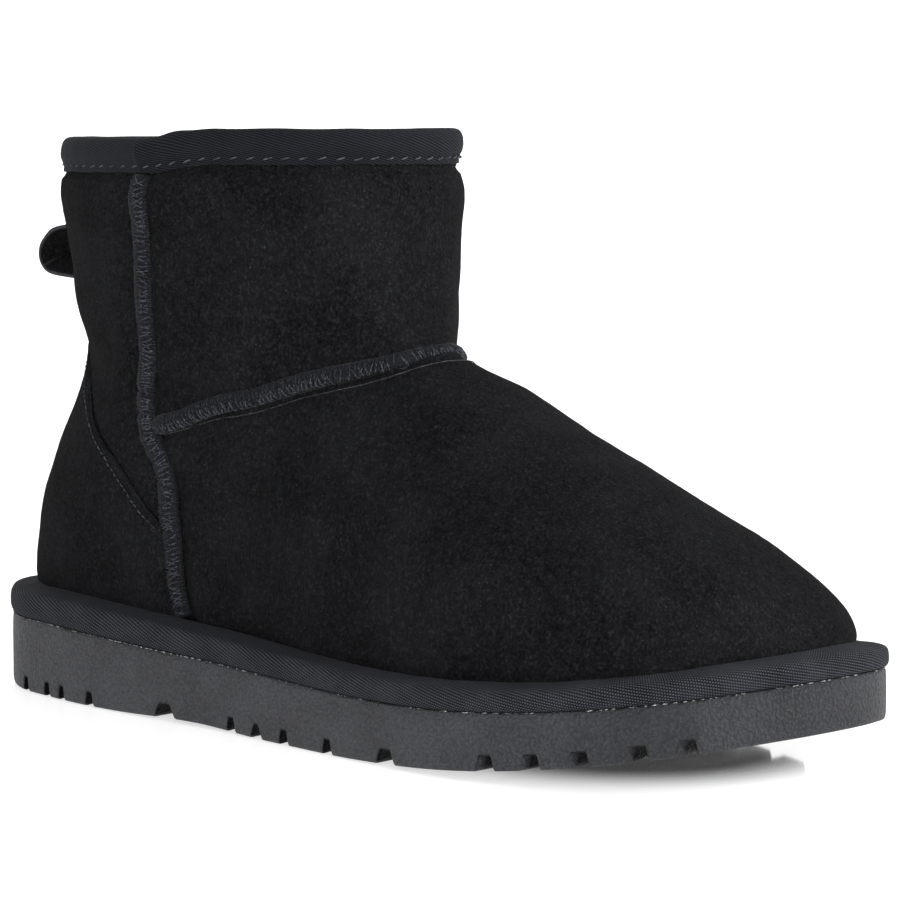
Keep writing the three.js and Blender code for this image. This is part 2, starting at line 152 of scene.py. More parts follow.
class Table:
    """Rows of sections with named columns; each column is a curve over the first."""

    def __init__(
        self,
        columns: str,
        rows: Sequence[Sequence[float]],
        station: Callable[[Array], Array] = np.asarray,
    ) -> None:
        """Makes one curve for each column.

        Args:
            columns: Names of the columns, the station first.
            rows: One row for each section.
            station: Spacing of the stations.
        """
        self.station = station
        names = columns.split()
        xs = station(np.array([row[0] for row in rows], float))
        self.curves = {
            name: MonotoneCurve(xs, [row[i + 1] for row in rows])
            for i, name in enumerate(names[1:])
        }

    def at(self, name: str, x: Array) -> Array:
        """Value of a column at the stations x."""
        return self.curves[name](self.station(x))


def unit(v: Array) -> Array:
    """Vectors scaled to length 1 along the last axis."""
    return v / np.maximum(np.linalg.norm(v, axis=-1, keepdims=True), 1e-12)


class LatticeNoise:
    """Seeded smooth noise in space, from -1 to 1."""

    def __init__(self, seed: int, size: int = 32) -> None:
        """Fills the lattice.

        Args:
            seed: Seed of the lattice's values.
            size: Lattice points a side before it repeats.
        """
        self.size = size
        self.values = np.random.default_rng(seed).uniform(-1, 1, (size, size, size))

    def __call__(self, points: Array, scale: float) -> Array:
        """Noise at points.

        Args:
            points: Places, mm.
            scale: Size of the noise's features, mm.

        Returns:
            One value for each point.
        """
        q = np.asarray(points, float) / scale
        base = np.floor(q).astype(int)
        t = q - base
        t = t * t * (3 - 2 * t)
        total = np.zeros(q.shape[:-1])
        for corner in range(8):
            step = np.array([(corner >> k) & 1 for k in range(3)])
            weight = np.prod(np.where(step == 1, t, 1 - t), axis=-1)
            cell = (base + step) % self.size
            total += weight * self.values[cell[..., 0], cell[..., 1], cell[..., 2]]
        return total


NOISE = LatticeNoise(seed=11)


# ---- meshes ------------------------------------------------------------------------------------
def grid_faces(rows: int, columns: int, wrap_rows: bool = False, wrap_columns: bool = False) -> Array:
    """Quads of a grid of points stored row after row.

    Args:
        rows: Number of rows.
        columns: Points in a row.
        wrap_rows: Whether the last row joins the first.
        wrap_columns: Whether each row closes on itself.

    Returns:
        Corner numbers, four for each quad.
    """
    r = np.arange(rows if wrap_rows else rows - 1)[:, None]
    c = np.arange(columns if wrap_columns else columns - 1)[None, :]
    below = (r + 1) % rows
    beside = (c + 1) % columns
    quads = [r * columns + c, r * columns + beside, below * columns + beside, below * columns + c]
    return np.stack([np.broadcast_to(q, (r.size, c.size)) for q in quads], -1).reshape(-1, 4)


@dataclass
class Patch:
    """Points and faces in millimetres, ready to become a mesh.

    The uv are places on the cloth in mm, and lap is how far they run before they start again.
    """

    points: Array
    faces: list[Array]
    uv: Array | None = None
    tone: Array | None = None
    lap: float = 0.0


def heel_back() -> float:
    """Frame station of the back of the heel, in mm, from the outsole's box."""
    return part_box("outsole")[0].x / MM + HEEL_FLARE


def signed_volume(points: Array, faces: Iterable[Array]) -> float:
    """Volume inside closed faces, negative when they point inwards."""
    total = 0.0
    for block in faces:
        a = points[block[:, 0]]
        for k in range(1, block.shape[1] - 1):
            total += float(np.sum(a * np.cross(points[block[:, k]], points[block[:, k + 1]])))
    return total


def cloth_places(patch: Patch, block: Array) -> Array:
    """Cloth places of each corner of a block of faces, unbroken where the rounds start again."""
    corners = patch.uv[block].astype(np.float32)
    if patch.lap:
        u = corners[..., 0]
        broken = (u.max(1) - u.min(1) > patch.lap / 2)[:, None] & (u < patch.lap / 2)
        corners[..., 0] = np.where(broken, u + patch.lap, u)
    return corners.ravel()


def make_object(
    name: str,
    patch: Patch,
    material: bpy.types.Material,
    closed: bool = True,
) -> bpy.types.Object:
    """Makes a Blender object from a patch.

    Args:
        name: Name of the piece.
        patch: Points and faces, mm, counted from the back of the heel.
        material: Finish of the piece.
        closed: Whether the faces enclose a volume, so that they can be turned outwards.

    Returns:
        The object, in the frame, in metres.
    """
    points = np.asarray(patch.points, float)
    blocks = patch.faces
    if closed and signed_volume(points - points.mean(0), blocks) < 0:
        blocks = [block[:, ::-1] for block in blocks]
    placed = (points + np.array([heel_back(), 0, 0])) * MM
    mesh = bpy.data.meshes.new(name)
    faces = [face for block in blocks for face in block.tolist()]
    mesh.from_pydata(placed.tolist(), [], faces)
    if patch.uv is not None:
        layer = mesh.uv_layers.new(name="UVMap")
        layer.data.foreach_set("uv", np.concatenate([cloth_places(patch, block) for block in blocks]))
    if patch.tone is not None:
        tone = mesh.attributes.new("tone", "FLOAT", "POINT")
        tone.data.foreach_set("value", np.asarray(patch.tone, np.float32))
    mesh.polygons.foreach_set("use_smooth", np.ones(len(mesh.polygons), bool))
    mesh.update()
    mesh.validate()
    mesh.materials.append(material)
    piece = bpy.data.objects.new(name, mesh)
    bpy.context.scene.collection.objects.link(piece)
    return piece


def ring_stack(rings: Array, uv: Array | None = None, loop: bool = False) -> Patch:
    """Surface through rings of equal length.

    Args:
        rings: Points, rings by points by 3.
        uv: Texture places for each point, or None.
        loop: Whether the last ring joins the first.

    Returns:
        The patch, open at its ends unless it is a loop.
    """
    count, around = rings.shape[:2]
    faces = [grid_faces(count, around, wrap_rows=loop, wrap_columns=True)]
    flat_uv = None if uv is None else uv.reshape(-1, 2)
    return Patch(rings.reshape(-1, 3), faces, flat_uv)


def tubes(paths: Array, radius: Array | float, sides: int = 4, guide: Array | None = None) -> Patch:
    """Many round strands with closed ends.

    Args:
        paths: Middle lines, strands by points by 3.
        radius: Radius at each point along a strand, or one for all.
        sides: Sides of the section.
        guide: Direction that no strand runs along, one or one for each strand.

    Returns:
        All the strands as one patch.
    """
    count, steps = paths.shape[:2]
    along = unit(np.gradient(paths, axis=1))
    away = np.array([0.31, 0.52, 0.8]) if guide is None else np.asarray(guide, float)
    away = np.broadcast_to(away, (count, 3))[:, None]
    wide = unit(np.cross(along, away))
    deep = np.cross(along, wide)
    angle = np.arange(sides) / sides * 2 * math.pi
    ring = wide[:, :, None] * np.cos(angle)[:, None] + deep[:, :, None] * np.sin(angle)[:, None]
    size = np.broadcast_to(np.asarray(radius, float), (steps,))[None, :, None, None]
    points = paths[:, :, None] + ring * size
    start = np.arange(count)[:, None, None] * steps * sides
    quads = start + grid_faces(steps, sides, wrap_columns=True)[None]
    around = np.arange(sides)
    ends = start + np.stack([around[::-1], (steps - 1) * sides + around])[None]
    return Patch(points.reshape(-1, 3), [quads.reshape(-1, 4), ends.reshape(-1, sides)])


def merge(patches: Sequence[Patch]) -> Patch:
    """Many patches as one, with faces of equal size kept together."""
    points = []
    blocks: dict[int, list[Array]] = {}
    tones = []
    shift = 0
    for patch in patches:
        points.append(patch.points)
        if patch.tone is not None:
            tones.append(patch.tone)
        for block in patch.faces:
            blocks.setdefault(block.shape[1], []).append(block + shift)
        shift += len(patch.points)
    tone = np.concatenate(tones) if len(tones) == len(patches) else None
    return Patch(np.vstack(points), [np.vstack(group) for group in blocks.values()], tone=tone)


def fibres(roots: Array, tips: Array, width: Array | float, bend: Array) -> Patch:
    """Thin bent blades, each tapering to a point.

    Args:
        roots: Foot of each blade.
        tips: End of each blade.
        width: Width at the foot.
        bend: How far the middle of each blade is pushed aside.

    Returns:
        All the blades as one patch.
    """
    count = len(roots)
    side = unit(np.cross(tips - roots, bend + np.array([0.11, 0.07, 0.05])))
    half = side * (np.broadcast_to(width, (count,))[:, None] / 2)
    middle = (roots + tips) / 2 + bend
    points = np.stack([roots - half, roots + half, middle - half * 0.7, middle + half * 0.7, tips], 1)
    start = np.arange(count)[:, None] * points.shape[1]
    return Patch(points.reshape(-1, 3), [start + np.array([[0, 1, 3, 2]]), start + np.array([[2, 3, 4]])])


# ---- form of the sole --------------------------------------------------------------------------
@dataclass(frozen=True)
class Groove:
    """One tread groove: station and its width at the floor and at the root, mm."""

    x: float
    mouth: float
    root: float


@dataclass
class SoleForm:
    """Outline and heights of the sole, mm."""

    length: float = 270.0
    toe_spring: float = 13.2
    spring_start: float = 151.0
    arch_lift: float = 0.8
    arch_from: float = 64.0
    arch_to: float = 128.0
    tread_depth: float = 3.5
    outline: Table = field(init=False)
    stack: Table = field(init=False)
    grooves: tuple[Groove, ...] = (
        Groove(26.4, 3.5, 1.8),
        Groove(37.8, 3.5, 1.8),
        Groove(45.1, 3.7, 1.8),
        Groove(57.9, 4.1, 2),
        Groove(88.7, 8.6, 3.5),
        Groove(114.7, 4.1, 1.8),
        Groove(125, 5.3, 1),
        Groove(136.1, 4.1, 1.8),
        Groove(153, 4.1, 2),
        Groove(174.3, 7.1, 3),
        Groove(205.9, 5.6, 3),
        Groove(217.7, 5.6, 3),
        Groove(229.4, 5.6, 3),
        Groove(241.4, 5.1, 3),
        Groove(250.4, 4.1, 2.2),
    )

    def __post_init__(self) -> None:
        """Makes the curves of the outline and of the thicknesses."""
        self.outline = Table(
            "x half centre",
            [
                (0, 0, 0.5),
                (8, 22.6, 0.6),
                (30, 35.2, 0.2),
                (62, 38.5, -1.5),
                (98, 38.5, -3.5),
                (131, 42, -3.5),
                (165, 47.5, -2),
                (195, 50.5, -1),
                (225, 46.5, 0.5),
                (250, 36, 4.6),
                (263, 20.8, 8.5),
                (270, 0, 10),
            ],
            round_station(0, self.length),
        )
        self.stack = Table(
            "x rubber platform",
            [
                (0, 19.5, 8),
                (35, 19.5, 8),
                (60, 18.7, 8),
                (100, 17.2, 7.2),
                (150, 15.3, 6.3),
                (220, 13.2, 6.1),
                (290, 11.7, 6),
            ],
        )

    def edge(self, lap: Array) -> Array:
        """Points of the outline; lap 0 is the heel, 0.5 the toe past the outer side."""
        turn = np.mod(np.asarray(lap, float), 1)
        outer = turn <= 0.5
        share = np.where(outer, turn * 2, 2 - turn * 2)
        x = self.length * (1 - np.cos(math.pi * share)) / 2
        half = self.outline.at("half", x)
        return np.stack([x, self.outline.at("centre", x) + np.where(outer, -half, half)], -1)

    def inset_edge(self, lap: Array, inset: Array | float) -> Array:
        """Points of the outline moved inwards, square to it.

        Args:
            lap: Places along the outline, 0 to 1.
            inset: Distance inwards, mm.

        Returns:
            Points in plan.
        """
        step = 0.002
        along = unit(self.edge(np.asarray(lap) + step) - self.edge(np.asarray(lap) - step))
        inwards = np.stack([-along[..., 1], along[..., 0]], -1)
        return self.edge(lap) + inwards * np.asarray(inset, float)[..., None]

    def spring(self, x: Array) -> Array:
        """Lift of the sole towards the toe."""
        past = np.asarray(x, float) - self.spring_start
        share = np.clip(past / (self.length - self.spring_start), 0, 1.1)
        return self.toe_spring * share ** 2

    def tread(self, x: Array) -> Array:
        """Height of the tread over the floor, grooves left out."""
        arch = np.clip((np.asarray(x, float) - self.arch_from) / (self.arch_to - self.arch_from), 0, 1)
        return self.spring(x) + self.arch_lift * np.sin(math.pi * arch) ** 2

    def groove_depth(self, x: Array) -> Array:
        """Depth of the grooves at a station."""
        depth = np.zeros(np.shape(x))
        for groove in self.grooves:
            away = np.abs(np.asarray(x, float) - groove.x)
            depth = np.maximum(depth, self.tread_depth * smooth(away, groove.mouth / 2, groove.root / 2))
        return depth

    def rubber_top(self, x: Array) -> Array:
        """Height of the top of the rubber."""
        return self.spring(x) + self.stack.at("rubber", x)

    def platform_top(self, x: Array) -> Array:
        """Height of the top of the bound platform."""
        return self.rubber_top(x) + self.stack.at("platform", x)


# ---- form of the upper -------------------------------------------------------------------------
@dataclass
class BootForm:
    """Surface of the upper over the sole, mm.

    A place on it is a turn in degrees from the back seam, positive on the outer side and 180 at
    the toe, and a level from 0 at the platform to 1 at the collar.
    """

    sole: SoleForm
    feather_inset: float = 7.0
    collar_back: float = 148.6
    collar_front: float = 150.9
    collar_step_at: float = 80.0
    collar_step_length: float = 22.0
    ridge_back: float = 7.0
    ridge_front: float = 263.0
    counter_skin: float = 1.0
    counter_gap: float = 0.45
    counter_turn: float = 67.5
    counter_step: float = 0.55
    tape: float = 1.0
    turns: int = 480
    levels: int = 220

    def __post_init__(self) -> None:
        """Makes the section curves and works out the surface once, on a fine grid."""
        self.leg = Table(
            "z back front half centre",
            [
                (20, 7.6, 110.8, 29.6, -1),
                (45, 7.9, 122.1, 33.7, 0),
                (65, 15.6, 131.3, 35.9, 1),
                (92, 27.9, 137.9, 37.6, 2),
                (115, 23.3, 138.2, 41.2, 3),
                (138, 19.9, 137, 43.6, 3.7),
                (149, 20.6, 136.6, 43.2, 4.3),
            ],
        )
        self.ridge = Table(
            "x rise",
            [
                (7, 10),
                (30, 35),
                (60, 50),
                (100, 65),
                (130, 76.2),
                (160, 69.8),
                (190, 55.5),
                (215, 42.4),
                (235, 30.8),
                (250, 19.6),
                (259, 9),
                (263, 0),
            ],
            round_station(self.ridge_back, self.ridge_front),
        )
        self.counter_edge = Table(
            "turn level",
            [
                (0, 0.6),
                (18, 0.575),
                (38, 0.505),
                (48, 0.44),
                (55.5, 0.35),
                (67.5, 0.19),
            ],
        )
        self.wall = Table(
            "level thick",
            [(0, 7.5), (0.3, 7.5), (0.8, 6.8), (0.91, 6.5), (0.93, 4.7), (1, 4.7)],
        )
        lap = np.linspace(0, 0.5, 301)
        self.outer = self._sorted(self.sole.inset_edge(lap, self.feather_inset))
        self.inner = self._sorted(self.sole.inset_edge(1 - lap, self.feather_inset))
        turn = np.arange(self.turns) * 360 / self.turns
        level = np.linspace(0, 1, self.levels)
        self.grid = self._solve(*np.meshgrid(turn, level))
        self.normals = self._grid_normals()

    @staticmethod
    def _sorted(line: Array) -> Array:
        """A line's points in the order of their stations."""
        return line[np.argsort(line[:, 0], kind="stable")]

    def collar_top(self, x: Array) -> Array:
        """Height of the top of the collar, with its step at the side seams."""
        step = smooth(x, self.collar_step_at, self.collar_step_at + self.collar_step_length)
        return self.collar_back + (self.collar_front - self.collar_back) * step

    def _foot(self, x: Array, y: Array, z: Array) -> Array:
        """Form of the foot: under 0 inside and over 0 outside, in rough mm."""
        outer = np.interp(x, self.outer[:, 0], self.outer[:, 1])
        inner = np.interp(x, self.inner[:, 0], self.inner[:, 1])
        half = np.maximum((inner - outer) / 2, 0.05)
        ridge = np.maximum(self.ridge.at("rise", x), 0.05)
        height = np.maximum(z - self.sole.platform_top(x), 0) / ridge
        swell = 1 + 0.05 * np.sin(math.pi * np.minimum(height / 0.8, 1))
        across = np.abs((y - (outer + inner) / 2) / (half * swell))
        section = (across ** 2.1 + height ** 2.2) ** (1 / 2.1) - 1
        past = np.maximum(np.maximum(x - self.outer[-1, 0], self.outer[0, 0] - x), 0)
        return np.clip(section, -1, 8) * 40 + past * 20

    def _leg(self, x: Array, y: Array, z: Array) -> Array:
        """Form of the leg, in the same measure."""
        back, front = self.leg.at("back", z), self.leg.at("front", z)
        along = np.abs((x - (back + front) / 2) / ((front - back) / 2))
        across = np.abs((y - self.leg.at("centre", z)) / self.leg.at("half", z))
        return ((along ** 2.2 + across ** 2.2) ** (1 / 2.2) - 1) * 45

    def _solve(self, turn: Array, level: Array) -> Array:
        """Finds the surface at each turn and level by halving.

        Args:
            turn: Degrees from the back seam.
            level: Share of the height.

        Returns:
            Points of the surface.
        """
        angle = np.radians(turn)
        middle = 78 + (132 - 78) * (1 - level) ** 1.2
        reach = 60 + (130 - 60) * (1 - level)
        way = unit(np.stack([-np.cos(angle) * reach, -np.sin(angle) * 46], -1))

        def place(radius: Array) -> tuple[Array, Array, Array]:
            """Point at a radius from the middle."""
            x = middle + radius * way[..., 0]
            y = radius * way[..., 1]
            low = self.sole.platform_top(x)
            return x, y, low + (self.collar_top(x) - low) * level

        inside = np.zeros_like(level, float)
        outside = np.full_like(inside, 175.0)
        for _ in range(26):
            radius = (inside + outside) / 2
            x, y, z = place(radius)
            foot, leg = self._foot(x, y, z), self._leg(x, y, z)
            blend = 12 * np.clip((z - self.sole.platform_top(x) - 2) / 25, 0.02, 1)
            overlap = np.maximum(blend - np.abs(foot - leg), 0)
            within = np.minimum(foot, leg) - overlap ** 2 / (4 * blend) < 0
            inside = np.where(within, radius, inside)
            outside = np.where(within, outside, radius)
        return np.stack(place((inside + outside) / 2), -1)

    def _grid_normals(self) -> Array:
        """Outward directions on the grid, level at the platform and at the collar."""
        around = np.roll(self.grid, -2, 1) - np.roll(self.grid, 2, 1)
        upward = np.gradient(self.grid, axis=0)
        normal = unit(np.cross(around, upward))
        level = np.linspace(0, 1, self.levels)[:, None]
        normal[..., 2] *= smooth(level, 0, 0.08) * (1 - smooth(level, 0.86, 0.92))
        return unit(normal)

    def _lookup(self, table: Array, turn: Array, level: Array) -> Array:
        """Values between the points of a grid.

        Args:
            table: Grid of values, levels by turns.
            turn: Degrees from the back seam, any number of rounds.
            level: Share of the height.

        Returns:
            One value for each place.
        """
        c = np.mod(turn, 360) * self.turns / 360
        r = np.clip(level, 0, 1) * (self.levels - 1)
        c0 = np.floor(c).astype(int)
        r0 = np.minimum(np.floor(r).astype(int), self.levels - 2)
        s, t = (c - c0)[..., None], (r - r0)[..., None]
        c0, c1 = c0 % self.turns, (c0 + 1) % self.turns
        low = table[r0, c0] * (1 - s) + table[r0, c1] * s
        high = table[r0 + 1, c0] * (1 - s) + table[r0 + 1, c1] * s
        return low * (1 - t) + high * t

    def form_point(self, turn: Array, level: Array) -> Array:
        """Points of the boot's form."""
        turn, level = np.broadcast_arrays(np.asarray(turn, float), np.asarray(level, float))
        return self._lookup(self.grid, turn, level)

    def normal(self, turn: Array, level: Array) -> Array:
        """Outward directions of the form."""
        turn, level = np.broadcast_arrays(np.asarray(turn, float), np.asarray(level, float))
        return unit(self._lookup(self.normals, turn, level))

    def skin_depth(self, turn: Array, level: Array) -> Array:
        """How far the skin runs under the form, below the heel counter and the tape."""
        side = np.abs((np.asarray(turn, float) + 180) % 360 - 180)
        counter = (1 - smooth(side, self.counter_turn, 100)) * (1 - smooth(level, 0.5, 0.75))
        above = smooth(level - self.counter_edge.at("level", side), 0.001, 0.009)
        counter = counter * (1 - self.counter_step * above * (side < self.counter_turn))
        tape = smooth(level, 0.91, 0.927)
        return (self.counter_skin + self.counter_gap) * counter + (self.tape + GAP) * tape

    def on_skin(self, turn: Array, level: Array, out: Array | float = 0.0) -> Array:
        """Points over the skin.

        Args:
            turn: Degrees from the back seam.
            level: Share of the height.
            out: Distance out from the skin, mm.

        Returns:
            Points.
        """
        away = np.asarray(out, float) - self.skin_depth(turn, level)
        return self.form_point(turn, level) + self.normal(turn, level) * away[..., None]


# ---- shading -----------------------------------------------------------------------------------
class Graph:
    """Short hand for building a node tree."""

    def __init__(self, tree: bpy.types.NodeTree) -> None:
        """Keeps the tree."""
        self.tree = tree

    def add(self, kind: str, **settings: object) -> bpy.types.Node:
        """Adds a node.

        Args:
            kind: Node type, without its ShaderNode prefix unless it is a group's own node.
            settings: Properties of the node.

        Returns:
            The node.
        """
        node = self.tree.nodes.new(kind if kind.startswith("Node") else "ShaderNode" + kind)
        for key, value in settings.items():
            setattr(node, key, value)
        return node

    def link(self, source: object, target: bpy.types.NodeSocket) -> None:
        """Links a node's first output, or an output socket, to an input."""
        output = source.outputs[0] if hasattr(source, "outputs") else source
        self.tree.links.new(output, target)

    def math(self, operation: str, *values: object, clamp: bool = False) -> bpy.types.NodeSocket:
        """A Math node over sockets and numbers, as its output socket."""
        node = self.add("Math", operation=operation, use_clamp=clamp)
        for i, value in enumerate(values):
            if isinstance(value, (int, float)):
                node.inputs[i].default_value = value
            else:
                self.link(value, node.inputs[i])
        return node.outputs[0]

    def noise(
        self,
        vector: object,
        scale: float,
        detail: float = 3.0,
        rough: float = 0.55,
    ) -> bpy.types.NodeSocket:
        """Noise from 0 to 1 at features of 1 / scale of the vector's unit."""
        node = self.add("TexNoise")
        node.inputs["Scale"].default_value = scale
        node.inputs["Detail"].default_value = detail
        node.inputs["Roughness"].default_value = rough
        self.link(vector, node.inputs["Vector"])
        return node.outputs[0]

    def ramp(self, value: object, low: float, high: float) -> bpy.types.NodeSocket:
        """Value stretched so that low becomes 0 and high becomes 1."""
        node = self.add("MapRange", interpolation_type="SMOOTHSTEP")
        self.link(value, node.inputs[0])
        node.inputs[1].default_value = low
        node.inputs[2].default_value = high
        return node.outputs[0]

    def blend(self, factor: object, first: object, second: object) -> bpy.types.NodeSocket:
        """Colour between two colours, each given as numbers or as a socket."""
        node = self.add("Mix", data_type="RGBA")
        self.link(factor, node.inputs["Factor"])
        for socket, value in ((node.inputs[6], first), (node.inputs[7], second)):
            if isinstance(value, (tuple, list)):
                socket.default_value = (*value, 1.0)
            else:
                self.link(value, socket)
        return node.outputs[2]


class Effect(Enum):
    """Surface effects that several finishes share, each one a node group."""

    NAP = "nap"
    TWILL = "twill"
    PEBBLE = "pebble"
    PATCHES = "patches"


def socket(tree: bpy.types.NodeTree, name: str, side: str, kind: str = "NodeSocketFloat") -> None:
    """Adds an input or output to a group."""
    tree.interface.new_socket(name=name, in_out=side, socket_type=kind)


def group_graph(
    name: str,
    inputs: Sequence[tuple[str, str]],
    outputs: Sequence[str],
) -> tuple[Graph, object, object]:
    """Starts a node group.

    Args:
        name: Name of the group.
        inputs: Name and socket type of each input.
        outputs: Names of the value outputs.

    Returns:
        The graph and its input and output nodes.
    """
    tree = bpy.data.node_groups.new(name, "ShaderNodeTree")
    for label, kind in inputs:
        socket(tree, label, "INPUT", kind)
    for label in outputs:
        socket(tree, label, "OUTPUT")
    graph = Graph(tree)
    return graph, graph.add("NodeGroupInput"), graph.add("NodeGroupOutput")


VECTOR = "NodeSocketVector"
FLOAT = "NodeSocketFloat"


def nap_group() -> bpy.types.NodeTree:
    """Short suede nap: Shade is its tone, Height its relief and Lint its pale specks."""
    inputs = [("Place", VECTOR), ("Size", FLOAT)]
    g, given, out = group_graph("suede nap", inputs, ["Shade", "Height", "Lint"])
    scaled = g.add("VectorMath", operation="SCALE")
    g.link(given.outputs["Place"], scaled.inputs[0])
    g.link(given.outputs["Size"], scaled.inputs["Scale"])
    brushed = g.add("Mapping")
    brushed.inputs["Scale"].default_value = (1.0, 1.0, 0.85)
    g.link(scaled.outputs[0], brushed.inputs["Vector"])
    hairs = g.ramp(g.noise(brushed, 1.3, 3.0, 0.75), 0.41, 0.62)
    clumps = g.ramp(g.noise(scaled.outputs[0], 0.5, 3.0, 0.65), 0.36, 0.66)
    pores = g.add("TexVoronoi", feature="F1")
    pores.inputs["Scale"].default_value = 1.15
    g.link(brushed.outputs[0], pores.inputs["Vector"])
    dome = g.math("SUBTRACT", 1.0, pores.outputs["Distance"], clamp=True)
    shade = g.math("ADD", g.math("MULTIPLY", hairs, 0.55),
                   g.math("ADD", g.math("MULTIPLY", clumps, 0.25), g.math("MULTIPLY", dome, 0.2)))
    g.link(shade, out.inputs["Shade"])
    height = g.math("ADD", g.math("MULTIPLY", hairs, 0.45), g.math("MULTIPLY", dome, 0.55))
    g.link(height, out.inputs["Height"])
    cells = g.add("TexVoronoi", feature="F1")
    cells.inputs["Scale"].default_value = 0.42
    g.link(scaled.outputs[0], cells.inputs["Vector"])
    speck = g.math("SUBTRACT", 1.0, g.ramp(cells.outputs["Distance"], 0.04, 0.1))
    chosen = g.ramp(g.noise(scaled.outputs[0], 0.11, 1.0), 0.47, 0.58)
    g.link(g.math("MULTIPLY", speck, chosen), out.inputs["Lint"])
    return g.tree


def twill_group() -> bpy.types.NodeTree:
    """Twill weave from a place in mm along and across the tape: Height and Shade of its ribs."""
    g, given, out = group_graph(
        "twill weave",
        [("Place", VECTOR), ("Pitch", FLOAT), ("Lean", FLOAT), ("Cross", FLOAT)],
        ["Height", "Shade"],
    )
    split = g.add("SeparateXYZ")
    g.link(given.outputs["Place"], split.inputs[0])
    along, across = split.outputs[0], split.outputs[1]
    cos = g.math("COSINE", given.outputs["Lean"])
    sin = g.math("SINE", given.outputs["Lean"])
    over = g.math("SUBTRACT", g.math("MULTIPLY", along, sin), g.math("MULTIPLY", across, cos))
    down = g.math("ADD", g.math("MULTIPLY", along, cos), g.math("MULTIPLY", across, sin))
    rib_turn = g.math("MULTIPLY", g.math("DIVIDE", over, given.outputs["Pitch"]), 2 * math.pi)
    rib = g.math("MULTIPLY_ADD", g.math("SINE", rib_turn), 0.5, 0.5)
    shift = g.math("MULTIPLY", g.math("FLOOR", g.math("DIVIDE", over, given.outputs["Pitch"])), math.pi)
    thread_turn = g.math("MULTIPLY", g.math("DIVIDE", down, given.outputs["Pitch"]), 2 * math.pi * 1.15)
    thread = g.math("MULTIPLY_ADD", g.math("SINE", g.math("ADD", thread_turn, shift)), 0.5, 0.5)
    gap = g.math("MULTIPLY", g.math("SUBTRACT", 1.0, thread), given.outputs["Cross"])
    weave = g.math("MULTIPLY", rib, g.math("SUBTRACT", 1.0, gap))
    g.link(weave, out.inputs["Height"])
    g.link(g.ramp(weave, 0.25, 0.68), out.inputs["Shade"])
    return g.tree


def pebble_group() -> bpy.types.NodeTree:
    """Fine moulded pebble grain: its Height and a Shade for the hollows."""
    g, given, out = group_graph("pebble grain", [("Place", VECTOR), ("Size", FLOAT)], ["Height", "Shade"])
    scaled = g.add("VectorMath", operation="SCALE")
    g.link(given.outputs["Place"], scaled.inputs[0])
    g.link(given.outputs["Size"], scaled.inputs["Scale"])
    cells = g.add("TexVoronoi", feature="SMOOTH_F1")
    cells.inputs["Scale"].default_value = 1.0
    cells.inputs["Smoothness"].default_value = 0.6
    g.link(scaled.outputs[0], cells.inputs["Vector"])
    dome = g.math("SUBTRACT", 1.0, cells.outputs["Distance"])
    fine = g.noise(scaled.outputs[0], 2.4, 3.0, 0.6)
    height = g.math("ADD", g.math("MULTIPLY", dome, 0.7), g.math("MULTIPLY", fine, 0.5))
    g.link(height, out.inputs["Height"])
    g.link(g.ramp(g.math("ADD", g.math("MULTIPLY", dome, 0.5), g.math("MULTIPLY", fine, 0.5)), 0.35, 0.8),
           out.inputs["Shade"])
    return g.tree


def patches_group() -> bpy.types.NodeTree:
    """Broad soft patches of tone, as a brushed or handled surface has."""
    g, given, out = group_graph("broad patches", [("Place", VECTOR), ("Size", FLOAT)], ["Shade"])
    scaled = g.add("VectorMath", operation="SCALE")
    g.link(given.outputs["Place"], scaled.inputs[0])
    g.link(given.outputs["Size"], scaled.inputs["Scale"])
    broad = g.noise(scaled.outputs[0], 1.0, 4.0, 0.6)
    g.link(g.ramp(broad, 0.35, 0.68), out.inputs["Shade"])
    return g.tree


BUILDERS = {
    Effect.NAP: nap_group,
    Effect.TWILL: twill_group,
    Effect.PEBBLE: pebble_group,
    Effect.PATCHES: patches_group,
}
GROUPS: dict[Effect, bpy.types.NodeTree] = {}


def effect(graph: Graph, kind: Effect, place: object, **values: float) -> bpy.types.Node:
    """Places a shared effect in a material.

    Args:
        graph: Graph of the material.
        kind: Which effect.
        place: Socket of the place in mm.
        values: Values of the group's other inputs, by name.

    Returns:
        The group's node.
    """
    if kind not in GROUPS:
        GROUPS[kind] = BUILDERS[kind]()
    node = graph.add("Group")
    node.node_tree = GROUPS[kind]
    graph.link(place, node.inputs["Place"])
    for name, value in values.items():
        node.inputs[name].default_value = value
    return node


def places_in_mm(graph: Graph, flat: bool) -> bpy.types.NodeSocket:
    """Object places, or texture places on the cloth, in mm."""
    source = graph.add("TexCoord")
    if flat:
        return source.outputs["UV"]
    scaled = graph.add("VectorMath", operation="SCALE")
    scaled.inputs["Scale"].default_value = 1 / MM
    graph.link(source.outputs["Object"], scaled.inputs[0])
    return scaled.outputs[0]


def new_material(name: str) -> tuple[bpy.types.Material, Graph, bpy.types.Node]:
    """An empty node material with its surface shader."""
    material = bpy.data.materials.new(name)
    material.use_nodes = True
    graph = Graph(material.node_tree)
    shader = material.node_tree.nodes["Principled BSDF"]
    return material, graph, shader


def add_bump(graph: Graph, shader: bpy.types.Node, height: object, depth: float) -> None:
    """Raises a surface by a height map.

    Args:
        graph: Graph of the material.
        shader: Its surface shader.
        height: Socket of the height, about 0 to 1.
        depth: Real depth of the relief, mm.
    """
    bump = graph.add("Bump")
    bump.inputs["Strength"].default_value = 1.0
    bump.inputs["Distance"].default_value = depth * MM
    graph.link(height, bump.inputs["Height"])
    graph.link(bump, shader.inputs["Normal"])


Colour = tuple[float, float, float]


